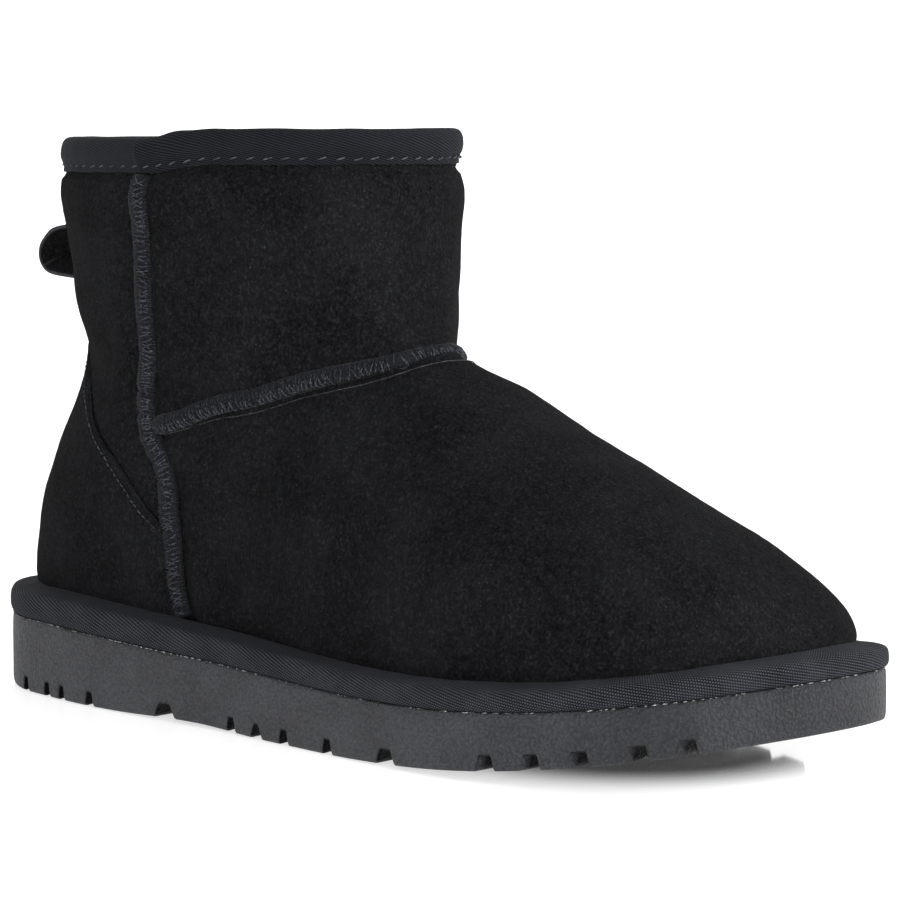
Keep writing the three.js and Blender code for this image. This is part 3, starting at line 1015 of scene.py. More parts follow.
@dataclass(frozen=True)
class Suede:
    """Napped suede: dark ground, paler brushed nap, a paler cut edge and a soft sheen."""

    name: str
    ground: Colour = (0.0006, 0.0006, 0.0008)
    nap: Colour = (0.0206, 0.0209, 0.0229)
    edge: Colour = (0.026, 0.027, 0.031)
    lint: Colour = (0.1, 0.1, 0.105)
    lint_amount: float = 0.5
    relief: float = 1.15
    gloss: float = 0.03
    sheen: float = 0.006

    def material(self) -> bpy.types.Material:
        """Builds the material; the mesh's tone is 1 where its edge is cut."""
        material, g, shader = new_material(self.name)
        place = places_in_mm(g, flat=False)
        nap = effect(g, Effect.NAP, place, Size=1.0)
        patches = effect(g, Effect.PATCHES, place, Size=0.045)
        tone = g.math("ADD", g.math("MULTIPLY", nap.outputs["Shade"], 0.78),
                      g.math("MULTIPLY", patches.outputs["Shade"], 0.22))
        body = g.blend(tone, self.ground, self.nap)
        cut = g.add("Attribute", attribute_name="tone")
        worn = g.blend(cut.outputs["Fac"], body, self.edge)
        specks = g.math("MULTIPLY", nap.outputs["Lint"], self.lint_amount)
        g.link(g.blend(specks, worn, self.lint), shader.inputs["Base Color"])
        g.link(g.math("MULTIPLY_ADD", nap.outputs["Shade"], 0.1, 0.86), shader.inputs["Roughness"])
        add_bump(g, shader, nap.outputs["Height"], self.relief)
        shader.inputs["Specular IOR Level"].default_value = self.gloss
        shader.inputs["Sheen Weight"].default_value = self.sheen
        shader.inputs["Sheen Roughness"].default_value = 0.5
        shader.inputs["Sheen Tint"].default_value = (0.9, 0.93, 1, 1)
        return material


@dataclass(frozen=True)
class Twill:
    """Woven tape with diagonal ribs, rubbed flat where the mesh's tone is 1; on the platform tape that tone
    is also a painted shade, taking the tape towards its dark brushed colour.
    """

    name: str
    hollow: Colour = (0.0025, 0.0027, 0.0038)
    rib: Colour = (0.027, 0.0285, 0.035)
    brushed: Colour = (0.02, 0.021, 0.0245)
    pitch: float = 0.75
    lean: float = 0.6
    cross: float = 0.3
    relief: float = 0.22
    gloss: float = 0.06
    sheen: float = 0.012

    def material(self) -> bpy.types.Material:
        """Builds the material."""
        material, g, shader = new_material(self.name)
        flat = places_in_mm(g, flat=True)
        solid = places_in_mm(g, flat=False)
        weave = effect(g, Effect.TWILL, flat, Pitch=self.pitch, Lean=self.lean, Cross=self.cross)
        flat_part = g.add("Attribute", attribute_name="tone").outputs["Fac"]
        patches = effect(g, Effect.PATCHES, solid, Size=0.12)
        fuzz = g.noise(solid, 3.0, 3.0, 0.7)
        tone = g.math("ADD", g.math("MULTIPLY", weave.outputs["Shade"], 0.8),
                      g.math("ADD", g.math("MULTIPLY", patches.outputs["Shade"], 0.1),
                             g.math("MULTIPLY", fuzz, 0.1)))
        body = g.blend(tone, self.hollow, self.rib)
        # Towards the brushed colour where the tone is high: a rubbed flat face, and on the platform tape a
        # painted shade too.
        rubbed = g.math("MULTIPLY", flat_part, 0.85)
        g.link(g.blend(rubbed, body, self.brushed), shader.inputs["Base Color"])
        g.link(g.math("MULTIPLY_ADD", weave.outputs["Shade"], -0.15, 0.85), shader.inputs["Roughness"])
        ribs = g.math("MULTIPLY", weave.outputs["Height"], g.math("MULTIPLY_ADD", flat_part, -0.75, 1.0))
        height = g.math("ADD", ribs, g.math("MULTIPLY", fuzz, 0.35))
        add_bump(g, shader, height, self.relief)
        shader.inputs["Specular IOR Level"].default_value = self.gloss
        shader.inputs["Sheen Weight"].default_value = self.sheen
        shader.inputs["Sheen Roughness"].default_value = 0.4
        return material


@dataclass(frozen=True)
class Rubber:
    """Moulded rubber with a fine pebble grain, and a painted shade inside its grooves where the mesh's tone
    is 1.
    """

    name: str
    low: Colour = (0.019, 0.0196, 0.0228)
    high: Colour = (0.0555, 0.057, 0.065)
    # Colour of the painted shade inside the grooves.
    hollow: Colour = (0.002, 0.002, 0.0025)
    grain: float = 1.25
    relief: float = 1.35
    coarse: tuple[float, float] = (185.0, 235.0)
    coarser: float = 1.0

    def material(self) -> bpy.types.Material:
        """Builds the material."""
        material, g, shader = new_material(self.name)
        place = places_in_mm(g, flat=False)
        pebble = effect(g, Effect.PEBBLE, place, Size=self.grain)
        patches = effect(g, Effect.PATCHES, place, Size=0.06)
        tone = g.math("ADD", g.math("MULTIPLY", pebble.outputs["Shade"], 0.6),
                      g.math("MULTIPLY", patches.outputs["Shade"], 0.3))
        # Painted shade: where the tone is 1, inside the grooves, the rubber takes the near-black hollow
        # colour and turns metallic so that it stays dark.
        inside = g.add("Attribute", attribute_name="tone").outputs["Fac"]
        body = g.blend(tone, self.low, self.high)
        g.link(g.blend(inside, body, self.hollow), shader.inputs["Base Color"])
        g.link(g.math("MULTIPLY", inside, 0.9), shader.inputs["Metallic"])
        g.link(g.math("MULTIPLY_ADD", pebble.outputs["Shade"], -0.12, 0.62), shader.inputs["Roughness"])
        split = g.add("SeparateXYZ")
        g.link(place, split.inputs[0])
        stronger = g.math("MULTIPLY_ADD", g.ramp(split.outputs[0], *self.coarse), self.coarser, 1.0)
        add_bump(g, shader, g.math("MULTIPLY", pebble.outputs["Height"], stronger), self.relief)
        shader.inputs["Specular IOR Level"].default_value = 0.3
        return material


@dataclass(frozen=True)
class Yarn:
    """Thread, wool or pile: a tone that varies from strand to strand."""

    name: str
    dark: Colour = (0.006, 0.0062, 0.008)
    pale: Colour = (0.036, 0.038, 0.045)
    rough: float = 0.8
    sheen: float = 0.04
    scale: float = 0.9

    def material(self) -> bpy.types.Material:
        """Builds the material."""
        material, g, shader = new_material(self.name)
        place = places_in_mm(g, flat=False)
        strand = g.ramp(g.noise(place, self.scale, 3.0, 0.7), 0.38, 0.66)
        g.link(g.blend(strand, self.dark, self.pale), shader.inputs["Base Color"])
        g.link(g.math("MULTIPLY_ADD", strand, -0.1, self.rough), shader.inputs["Roughness"])
        shader.inputs["Specular IOR Level"].default_value = 0.1
        shader.inputs["Sheen Weight"].default_value = self.sheen
        shader.inputs["Sheen Roughness"].default_value = 0.5
        return material


# ---- building helpers --------------------------------------------------------------------------
def capped(
    rings: Array,
    across: int,
    floor: Callable[[Array], Array],
    roof: Callable[[Array], Array],
) -> Patch:
    """Closed solid from rings that run round a sole, closed by strips from side to side.

    Args:
        rings: Rings from low to high, rings by points by 3; each starts at the heel, and its
            points lie in pairs, one on each side.
        across: Strips from side to side.
        floor: Height of the underside at given points.
        roof: Height of the top at given points.

    Returns:
        The solid.
    """
    count, around = rings.shape[:2]
    half = around // 2
    points = [rings.reshape(-1, 3)]
    quads = [grid_faces(count, around, wrap_columns=True)]
    fans = []
    outer = np.arange(1, half)
    share = np.linspace(0, 1, across + 1)[None, 1:-1, None]
    for ring, height in ((0, floor), (count - 1, roof)):
        start = ring * around
        left, right = rings[ring, outer][:, None], rings[ring, around - outer][:, None]
        middle = left * (1 - share) + right * share
        middle[..., 2] = height(middle)
        first = sum(len(block) for block in points)
        numbers = first + np.arange(middle.shape[0] * middle.shape[1]).reshape(middle.shape[:2])
        points.append(middle.reshape(-1, 3))
        rows = np.hstack([start + outer[:, None], numbers, start + around - outer[:, None]])
        cap = np.stack([rows[:-1, :-1], rows[:-1, 1:], rows[1:, 1:], rows[1:, :-1]], -1).reshape(-1, 4)
        ends = np.full(across, start), np.full(across, start + half)
        fan = np.vstack([
            np.stack([rows[0, 1:], rows[0, :-1], ends[0]], -1),
            np.stack([rows[-1, :-1], rows[-1, 1:], ends[1]], -1),
        ])
        quads.append(cap if ring == 0 else cap[:, ::-1])
        fans.append(fan if ring == 0 else fan[:, ::-1])
    return Patch(np.vstack(points), [np.vstack(quads), np.vstack(fans)])


def sheet_shell(face: Array, back: Array) -> Patch:
    """Closed plate from its face and its back, two grids of the same size."""
    rows, columns = face.shape[:2]
    top = grid_faces(rows, columns)
    shift = rows * columns
    low, high = np.arange(columns), (rows - 1) * columns + np.arange(columns)
    left, right = np.arange(rows) * columns, np.arange(rows) * columns + columns - 1
    rims = []
    for line, turned in ((low, False), (high, True), (left, True), (right, False)):
        rim = np.stack([line[1:], line[:-1], line[:-1] + shift, line[1:] + shift], -1)
        rims.append(rim[:, ::-1] if turned else rim)
    points = np.vstack([face.reshape(-1, 3), back.reshape(-1, 3)])
    return Patch(points, [np.vstack([top, top[:, ::-1] + shift, *rims])])


def even(places: Array, points: Array, step: float) -> Array:
    """Places along a line, evenly spaced on the surface.

    Args:
        places: Turn and level of each known place.
        points: The same places in space.
        step: Wanted spacing, mm.

    Returns:
        Turn and level of each even place.
    """
    run = np.concatenate([[0], np.cumsum(np.linalg.norm(np.diff(points, axis=0), axis=1))])
    wanted = np.linspace(0, run[-1], max(int(round(run[-1] / step)), 2) + 1)
    return np.stack([np.interp(wanted, run, places[:, k]) for k in range(2)], -1)


def fold(turn: Array) -> Array:
    """Turn brought between -180 and 180."""
    return (np.asarray(turn, float) + 180) % 360 - 180


def dress(piece: bpy.types.Object, slot: str, *nodes: str) -> None:
    """Hands a piece to the frame.

    Args:
        piece: The piece.
        slot: Material slot of the record that it follows.
        nodes: CAD nodes that it stands for.
    """
    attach(piece, BODY)
    if nodes:
        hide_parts(*nodes)
    LOG.info("%s: %d faces, %s", piece.name, len(piece.data.polygons), slot)


# ---- sole --------------------------------------------------------------------------------------
@dataclass
class Outsole:
    """Moulded rubber sole with rounded edges, tread grooves and fine sipes underneath."""

    sole: SoleForm
    finish: Rubber = Rubber("outsole rubber")
    sections: int = 300
    strips: int = 36
    edge_foot: tuple[tuple[float, float], ...] = (
        (1.2, 0), (0.6, 0.03), (0.3, 0.12), (0.08, 0.35), (-0.08, 0.8), (-0.2, 1.8),
    )
    edge_head: tuple[tuple[float, float], ...] = (
        (-0.22, 5), (-0.12, 1.5), (0.0, 0.3), (0.25, -0.1), (0.9, -0.24),
    )
    sipe_pitch: float = 6.4
    sipe_depth: float = 0.7
    sipe_width: float = 1.1
    rim: float = 7.0
    waviness: float = 0.12

    def laps(self) -> Array:
        """Laps of the ring's points, in pairs of equal station, dense at the grooves."""
        length = self.sole.length
        stations = [length * (1 - np.cos(np.linspace(0, math.pi, self.sections))) / 2]
        for groove in self.sole.grooves:
            wall = (groove.mouth - groove.root) / 2
            share = np.array([-0.5, 0, 0.12, 0.3, 0.5, 0.7, 0.88, 1])
            away = groove.mouth / 2 - wall * share
            stations += [groove.x - away, groove.x + away]
        stations = np.unique(np.round(np.concatenate(stations), 2))
        stations = stations[np.concatenate([[True], np.diff(stations) > 0.03])]
        stations[-1] = length
        outer = np.arccos(1 - 2 * stations / length) / (2 * math.pi)
        return np.concatenate([outer, 1 - outer[-2:0:-1]])

    def underside(self, points: Array) -> Array:
        """Height of the tread with its grooves and sipes."""
        x, y = points[..., 0], points[..., 1]
        height = self.sole.tread(x) + self.sole.groove_depth(x)
        outer = np.interp(x, *self._line(0.0, 0.5).T)
        inner = np.interp(x, *self._line(1.0, 0.5).T)
        room = np.minimum(y - outer, inner - y)
        wave = np.abs((y / self.sipe_pitch + 0.5) % 1 - 0.5) * self.sipe_pitch
        sipe = smooth(wave, self.sipe_width, self.sipe_width * 0.4) * smooth(room, self.rim, self.rim + 0.8)
        height = height + self.sipe_depth * sipe * (1 - smooth(self.sole.groove_depth(x), 0.2, 1))
        return height

    def _line(self, start: float, end: float) -> Array:
        """Points of one side of the outline, by station."""
        return self.sole.edge(np.linspace(start, end, 200))

    def build(self) -> bpy.types.Object:
        """Builds and dresses the outsole."""
        laps = self.laps()
        x = self.sole.edge(laps)[:, 0]
        tread = self.sole.tread(x) + self.sole.groove_depth(x)
        top = self.sole.rubber_top(x)
        rings = [np.column_stack([self.sole.inset_edge(laps, inset), tread + rise])
                 for inset, rise in self.edge_foot]
        rings += [np.column_stack([self.sole.inset_edge(laps, inset), top - drop])
                  for inset, drop in self.edge_head]
        rings = np.stack(rings)
        wave = NOISE(rings, 26.0)[..., None] * self.waviness
        middle = rings.mean(axis=(0, 1))
        rings[3:-3] += (unit(rings - middle) * [1, 1, 0] * wave)[3:-3]
        patch = capped(rings, self.strips, self.underside, lambda p: self.sole.rubber_top(p[..., 0]))
        x, z = patch.points[:, 0], patch.points[:, 2]
        depth = self.sole.groove_depth(x)
        # The tone paints shade inside the grooves, on their roots and the walls near them.
        patch.tone = smooth(z - self.sole.tread(x) - depth, 0.6, 0.1) * smooth(depth, 0.0, 0.8)
        piece = make_object("outsole_skin", patch, self.finish.material())
        dress(piece, "rubber", "outsole")
        return piece


@dataclass
class Midsole:
    """Platform wrapped in twill tape, with a fine broken line of cement under the tape."""

    sole: SoleForm
    # The platform tape's brushed colour is near black: it is a painted shade where the tape's tone is high,
    # as well as the ribless face there.
    finish: Twill = Twill(
        "platform tape", hollow=(0.001, 0.0011, 0.0018), rib=(0.088, 0.092, 0.11),
        brushed=(0.0085, 0.009, 0.0115), pitch=0.76, lean=-0.3, cross=0.8, relief=0.45,
    )
    glue: Yarn = Yarn("edge cement", dark=(0.03, 0.031, 0.035), pale=(0.4, 0.4, 0.41), rough=0.6, sheen=0.0)
    points: int = 1200
    edge: tuple[tuple[float, float], ...] = (
        (6, 0), (2.2, 0), (0.6, 0.01), (0.05, 0.04), (-0.35, 0.1), (-0.62, 0.2), (-0.78, 0.35),
        (-0.8, 0.52), (-0.7, 0.68), (-0.4, 0.81), (0.2, 0.9), (1.1, 0.955), (2.2, 0.985), (3.6, 1.01),
        (5.2, 1.035), (6.5, 1.07), (7.4, 1.07), (8.6, 0.97), (12, 0.93),
    )
    plain_to: float = 185.0
    glue_from: float = 2.0
    glue_to: float = 122.0
    glue_thickest: float = 52.0
    glue_beyond: float = 0.3
    glue_toe: float = 150.0
    glue_at_toe: float = 0.5
    glue_pitch: float = 1.25
    glue_length: tuple[float, float] = (0.4, 1.5)
    glue_radius: tuple[float, ...] = (0.04, 0.11, 0.12, 0.04)
    glue_height: float = 0.22

    def bead(self) -> tuple[Array, Array]:
        """Fine profile of the bead, inset and share of its height."""
        inset, share = np.array(self.edge).T
        run = np.concatenate([[0], np.cumsum(np.hypot(np.diff(inset), np.diff(share) * 8))])
        fine = np.linspace(0, run[-1], 34)
        return MonotoneCurve(run, inset)(fine), MonotoneCurve(run, share)(fine)

    def rings(self, laps: Array) -> Array:
        """Rings of the bead, slightly uneven as a wrapped edge is."""
        inset, share = self.bead()
        x = self.sole.edge(laps)[:, 0]
        low = self.sole.rubber_top(x) + GAP
        high = self.sole.platform_top(x)
        rings = np.stack([
            np.column_stack([self.sole.inset_edge(laps, i), low + (high - low) * s])
            for i, s in zip(inset, share)
        ])
        seen = smooth(share, 0.02, 0.2)[:, None] * smooth(inset, 9, 5)[:, None]
        uneven = NOISE(rings, 11.0) * 0.22 + NOISE(rings, 3.2) * 0.09
        centre = np.array([self.sole.length / 2, 0, rings[..., 2].mean()])
        outwards = unit((rings - centre) * [0.35, 1, 0])
        rings += outwards * (uneven * seen)[..., None]
        rings[..., 2] += uneven * seen * smooth(share, 0.5, 0.9)[:, None]
        return rings

    def build(self) -> list[bpy.types.Object]:
        """Builds and dresses the wrapped platform and its cement line."""
        laps = np.arange(self.points) / self.points
        rings = self.rings(laps)
        patch = capped(
            rings, 12,
            lambda p: self.sole.rubber_top(p[..., 0]) + GAP,
            lambda p: self.sole.platform_top(p[..., 0]) - 0.4,
        )
        ring = self.sole.edge(np.append(laps, 0))
        along = np.concatenate([[0], np.cumsum(np.linalg.norm(np.diff(ring, axis=0), axis=1))])
        up = np.concatenate([[0], np.cumsum(np.linalg.norm(np.diff(rings, axis=0), axis=2).mean(1))])
        flat = np.stack(np.meshgrid(along[:-1], up), -1).reshape(-1, 2)
        patch.uv = np.vstack([flat, patch.points[len(flat):, :2]])
        patch.lap = float(along[-1])
        inset, share = self.bead()
        # Tone of the tape, which darkens it towards the brushed colour and flattens its ribs: a painted
        # shade over the whole heel part; a painted shade on the top of the bead where it tucks under the
        # upper, from the heel to about plain_to, whose ribs are also flattened; and a little darkening on
        # the underside of the bead next to the rubber.
        behind = smooth(rings[0, :, 0], self.plain_to, self.plain_to - 60)
        plain = smooth(inset[:, None] - 3.4 * (1 - behind), -0.1, 1.7) * smooth(share, 0.55, 0.78)[:, None]
        tone = np.clip(plain * behind + 0.3 * behind + 0.1 * smooth(share, 0.35, 0.1)[:, None], 0, 1)
        patch.tone = np.concatenate([tone.ravel(), np.ones(len(patch.points) - tone.size)])
        body = make_object("platform_tape", patch, self.finish.material())
        dress(body, "tape", "wrapped_midsole")
        cement = make_object("platform_cement_line", self.cement(), self.glue.material(), closed=False)
        dress(cement, "tape")
        return [body, cement]

    def cement(self) -> Patch:
        """Flecks of cement between the rubber and the tape, thickest behind the side seam."""
        draw = np.random.default_rng(5)
        laps = np.linspace(0, 1, 4000)
        ring = self.sole.edge(laps)
        run = np.concatenate([[0], np.cumsum(np.linalg.norm(np.diff(ring, axis=0), axis=1))])
        starts = np.arange(self.glue_from, run[-1] - self.glue_from, self.glue_pitch)
        starts = starts + draw.uniform(-0.4, 0.4, len(starts))
        station = np.interp(starts, run, ring[:, 0])
        outer = starts < run[-1] / 2
        thick = 0.4 + 0.55 * bell(station, self.glue_thickest, 46)
        chance = np.where(outer & (station < self.glue_to), thick, self.glue_beyond)
        front = smooth(station, self.glue_toe, self.glue_toe + 60)
        chance = np.maximum(chance, self.glue_at_toe * front)
        keep = draw.random(len(starts)) < chance
        shorter = np.where(chance > self.glue_beyond, 1, 0.6)
        length = (draw.uniform(*self.glue_length, len(starts)) * shorter)[keep]
        starts = starts[keep]
        pieces = []
        for share in np.linspace(0, 1, 4):
            lap = np.interp(starts + length * share, run, laps)
            x = self.sole.edge(lap)[:, 0]
            height = self.sole.rubber_top(x) + self.glue_height + draw.uniform(-0.05, 0.08, len(starts))
            inset = 0.14 * smooth(x, 130, 180) - 0.05
            pieces.append(np.column_stack([self.sole.inset_edge(lap, inset), height]))
        size = np.array(self.glue_radius)
        return tubes(np.stack(pieces, 1), size, sides=5, guide=np.array([0, 0, 1.0]))


@dataclass
class Insole:
    """Footbed under the pile, with its short wool."""

    sole: SoleForm
    finish: Yarn = Yarn("insole wool", dark=(0.008, 0.008, 0.009), pale=(0.03, 0.03, 0.032), rough=0.9)
    points: int = 360
    edge: tuple[tuple[float, float], ...] = (
        (15.6, 0), (15.6, 0.6), (15.8, 1.2), (16.4, 2.1), (17.4, 3.0), (18.8, 3.9), (20.4, 4.6), (22, 5),
    )
    blades: int = 20000
    length: tuple[float, float] = (1.6, 2.8)
    wool_inset: float = 16.4
    spine: tuple[float, float] = (45.0, 225.0)

    def top(self, points: Array) -> Array:
        """Height of the footbed, softly uneven."""
        base = self.sole.platform_top(points[..., 0]) + GAP + self.edge[-1][1]
        return base + NOISE(points * [1, 1, 0], 9.0) * 0.35

    def build(self) -> list[bpy.types.Object]:
        """Builds and dresses the footbed and its wool."""
        laps = np.arange(self.points) / self.points
        x = self.sole.edge(laps)[:, 0]
        base = self.sole.platform_top(x) + GAP
        rings = np.stack([
            np.column_stack([self.sole.inset_edge(laps, inset), base + rise])
            for inset, rise in self.edge
        ])
        patch = capped(rings, 24, lambda p: self.sole.platform_top(p[..., 0]) + GAP, self.top)
        bed = make_object("insole_bed", patch, self.finish.material())
        dress(bed, "fleece", "insole")
        wool = make_object("insole_wool", self.wool(), self.finish.material(), closed=False)
        dress(wool, "fleece")
        return [bed, wool]

    def wool(self) -> Patch:
        """Short blades all over the footbed."""
        draw = np.random.default_rng(21)
        count = self.blades
        laps = draw.random(count)
        share = np.sqrt(draw.random(count))
        rim = self.sole.inset_edge(laps, self.wool_inset)
        spine = np.column_stack([np.clip(rim[:, 0], *self.spine), np.zeros(count)])
        place = spine + (rim - spine) * share[:, None]
        roots = np.column_stack([place, np.zeros(count)])
        roots[:, 2] = self.top(roots) - 0.4 - 2.4 * smooth(share, 0.88, 1)
        lean = draw.normal(0, 0.55, (count, 3)) + np.array([-0.25, 0, 1])
        size = draw.uniform(*self.length, count)[:, None]
        tips = roots + unit(lean) * size
        bend = draw.normal(0, 0.35, (count, 3))
        return fibres(roots, tips, 0.22, bend)


# ---- upper -------------------------------------------------------------------------------------
@dataclass(frozen=True)
class Crease:
    """Soft trough between two places; a negative depth is a ridge. Width and depth in mm."""

    turn: float
    level: float
    turn_end: float
    level_end: float
    width: float
    depth: float


@dataclass(frozen=True)
class Swell:
    """Soft rise of a height, mm, about a place, as wide as its width on both sides."""

    height: float
    middle: float
    width: float

    def over(self, place: Array) -> Array:
        """Height of the swell at places."""
        return self.height * bell(place, self.middle, self.width)


@dataclass
class UpperSkin:
    """Suede outer of the boot: its seams, its relief and its shell."""

    boot: BootForm
    finish: Suede = Suede("suede")
    thick: float = 1.5
    rows: int = 150
    back_rows: int = 12
    top_level: float = 0.985
    tape_edge: float = 0.925
    valley_depth: float = 0.9
    valley_width: float = 3.6
    puff: float = 0.75
    puff_at: float = 10.0
    puff_width: float = 6.0
    vamp_start: float = 68.5
    side_fold: Swell = Swell(1.2, 3.6, 2.4)
    vamp_fold: Swell = Swell(0.9, -3.2, 1.3)
    front_roll: Swell = Swell(0.75, 0.87, 0.045)
    back_waist: Swell = Swell(0.45, 0.83, 0.06)
    heel_roll: Swell = Swell(0.9, 0.64, 0.06)
    toe_trim: Swell = Swell(0.7, 0.12, 0.075)
    toe_trim_turn: float = 198.0
    tuck: float = 0.7
    tuck_levels: tuple[float, float] = (0.875, 0.924)
    foot_tuck: float = 0.35
    pucker: float = 0.28
    broad_swell: float = 0.22
    small_swell: float = 0.1
    creases: tuple[Crease, ...] = (
        Crease(100, 0.44, 124, 0.36, 7.0, 0.55),
        Crease(104, 0.36, 132, 0.24, 9.0, -0.5),
        Crease(125, 0.3, 158, 0.36, 8.0, 0.45),
        Crease(118, 0.02, 124, 0.16, 4.5, 0.6),
        Crease(126, 0.0, 131, 0.12, 4.0, -0.55),
        Crease(108, 0.03, 110, 0.14, 5.0, -0.4),
        Crease(148, 0.05, 152, 0.16, 5.0, 0.35),
        Crease(74, 0.5, 96, 0.64, 7.0, 0.5),
        Crease(80, 0.72, 112, 0.83, 9.0, 0.5),
        Crease(112, 0.62, 150, 0.68, 9.0, 0.45),
        Crease(30, 0.55, 55, 0.48, 6.0, 0.5),
        Crease(24, 0.68, 52, 0.74, 8.0, 0.5),
        Crease(-100, 0.44, -126, 0.35, 7.0, 0.55),
        Crease(-104, 0.34, -134, 0.26, 9.0, -0.5),
        Crease(-120, 0.02, -126, 0.16, 4.5, 0.5),
        Crease(-76, 0.52, -98, 0.64, 7.0, 0.5),
        Crease(-84, 0.74, -118, 0.82, 9.0, 0.5),
        Crease(-28, 0.62, -55, 0.7, 8.0, 0.5),
        Crease(168, 0.64, 196, 0.66, 8.0, 0.5),
        Crease(170, 0.52, 192, 0.5, 6.0, -0.4),
    )
    side: Table = field(init=False)
    vamp: Table = field(init=False)

    def __post_init__(self) -> None:
        """Makes the seam lines."""
        self.side = Table(
            "level turn",
            [
                (0, 65),
                (0.1, 66),
                (0.2, 68.1),
                (0.3, 69),
                (0.39, 67.2),
                (0.48, 69.2),
                (0.58, 73.2),
                (0.72, 79.5),
                (0.88, 86.3),
                (1, 90.5),
            ],
        )
        self.vamp = Table(
            "turn level",
            [
                (67, 0.397),
                (69, 0.4),
                (75, 0.416),
                (85, 0.447),
                (96, 0.471),
                (109, 0.502),
                (122, 0.525),
                (136, 0.544),
                (167, 0.572),
                (180, 0.574),
            ],
        )

    def from_side_seam(self, turn: Array, level: Array) -> Array:
        """Distance to the nearer side seam, mm, positive in front of it."""
        turn, level = np.broadcast_arrays(np.asarray(turn, float), np.asarray(level, float))
        step = self.boot.form_point(turn + 0.5, level) - self.boot.form_point(turn - 0.5, level)
        return (np.abs(fold(turn)) - self.side.at("turn", level)) * np.linalg.norm(step, axis=-1)

    def from_vamp_seam(self, turn: Array, level: Array) -> Array:
        """Distance to the vamp seam, mm, positive above it."""
        turn, level = np.broadcast_arrays(np.asarray(turn, float), np.asarray(level, float))
        held = np.clip(level, 0.005, 0.995)
        step = self.boot.form_point(turn, held + 0.005) - self.boot.form_point(turn, held - 0.005)
        away = (level - self.vamp.at("level", np.abs(fold(turn)))) * np.linalg.norm(step, axis=-1) / 0.01
        return np.where(self.from_side_seam(turn, level) > 0, away, 99.0)

    def relief(self, turn: Array, level: Array) -> Array:
        """Height of the suede over its plain form, mm."""
        turn, level = np.broadcast_arrays(np.asarray(turn, float), np.asarray(level, float))
        points = self.boot.form_point(turn, level)
        side, vamp = self.from_side_seam(turn, level), self.from_vamp_seam(turn, level)
        height = np.zeros(turn.shape)
        for away in (side, vamp):
            height -= self.valley_depth * bell(away, 0, self.valley_width)
            height += self.puff * bell(np.abs(away), self.puff_at, self.puff_width) * (np.abs(away) < 60)
        lower = 1 - smooth(level, 0.28, 0.4)
        height -= self.side_fold.over(side) * lower
        height -= self.vamp_fold.over(vamp) * (side > 1)
        back = smooth(np.abs(fold(turn)), 120, 60)
        height += self.front_roll.over(level) * (1 - back) - self.back_waist.over(level) * back
        height -= self.tuck * smooth(level, *self.tuck_levels)
        height += self.heel_roll.over(level) * smooth(np.abs(fold(turn)), 66, 40)
        height -= self.foot_tuck * (1 - smooth(level, 0, 0.02))
        height -= self.toe_trim.over(level) * bell(np.mod(turn, 360), self.toe_trim_turn, 26)
        pucker = NOISE(points * [1, 1, 0.35], 5.5)
        height += self.pucker * pucker * np.maximum(bell(side, 0, 9), bell(level, 0, 0.09))
        height += self.broad_swell * NOISE(points, 15.0) + self.small_swell * NOISE(points, 5.0)
        for crease in self.creases:
            height -= crease.depth * bell(self._from_crease(crease, points), 0, crease.width)
        return height * (1 - 0.75 * smooth(level, 0.92, 0.935))

    def _from_crease(self, crease: Crease, points: Array) -> Array:
        """Distance of points to a crease's line, fading past its ends."""
        share = np.linspace(0, 1, 16)
        turn = crease.turn + (crease.turn_end - crease.turn) * share
        level = crease.level + (crease.level_end - crease.level) * share
        line = self.boot.form_point(turn, level)
        nearest = np.full(points.shape[:-1], 1e9)
        for place in line:
            nearest = np.minimum(nearest, ((points - place) ** 2).sum(-1))
        return np.sqrt(nearest)

    def place(self, turn: Array, level: Array, out: Array | float = 0.0) -> Array:
        """Points over the finished suede.

        Args:
            turn: Degrees from the back seam.
            level: Share of the height.
            out: Distance out from the suede, mm.

        Returns:
            Points.
        """
        return self.boot.on_skin(turn, level, self.relief(turn, level) + out)

    def build(self) -> bpy.types.Object:
        """Builds and dresses the suede shell."""
        turn = np.arange(self.boot.turns)[None] * 360 / self.boot.turns
        level = np.linspace(0, self.top_level, self.rows)[:, None]
        face = self.place(turn, level)
        fine = NOISE(face, 1.7) * 0.07
        face += self.boot.normal(turn, level) * fine[..., None]
        inner_level = np.linspace(self.top_level, 0, self.back_rows)[:, None]
        back = self.boot.on_skin(turn, inner_level, -self.thick - 0.6)
        rings = np.concatenate([face, back])
        piece = make_object("suede_upper", ring_stack(rings, loop=True), self.finish.material())
        dress(piece, "suede", "upper")
        return piece


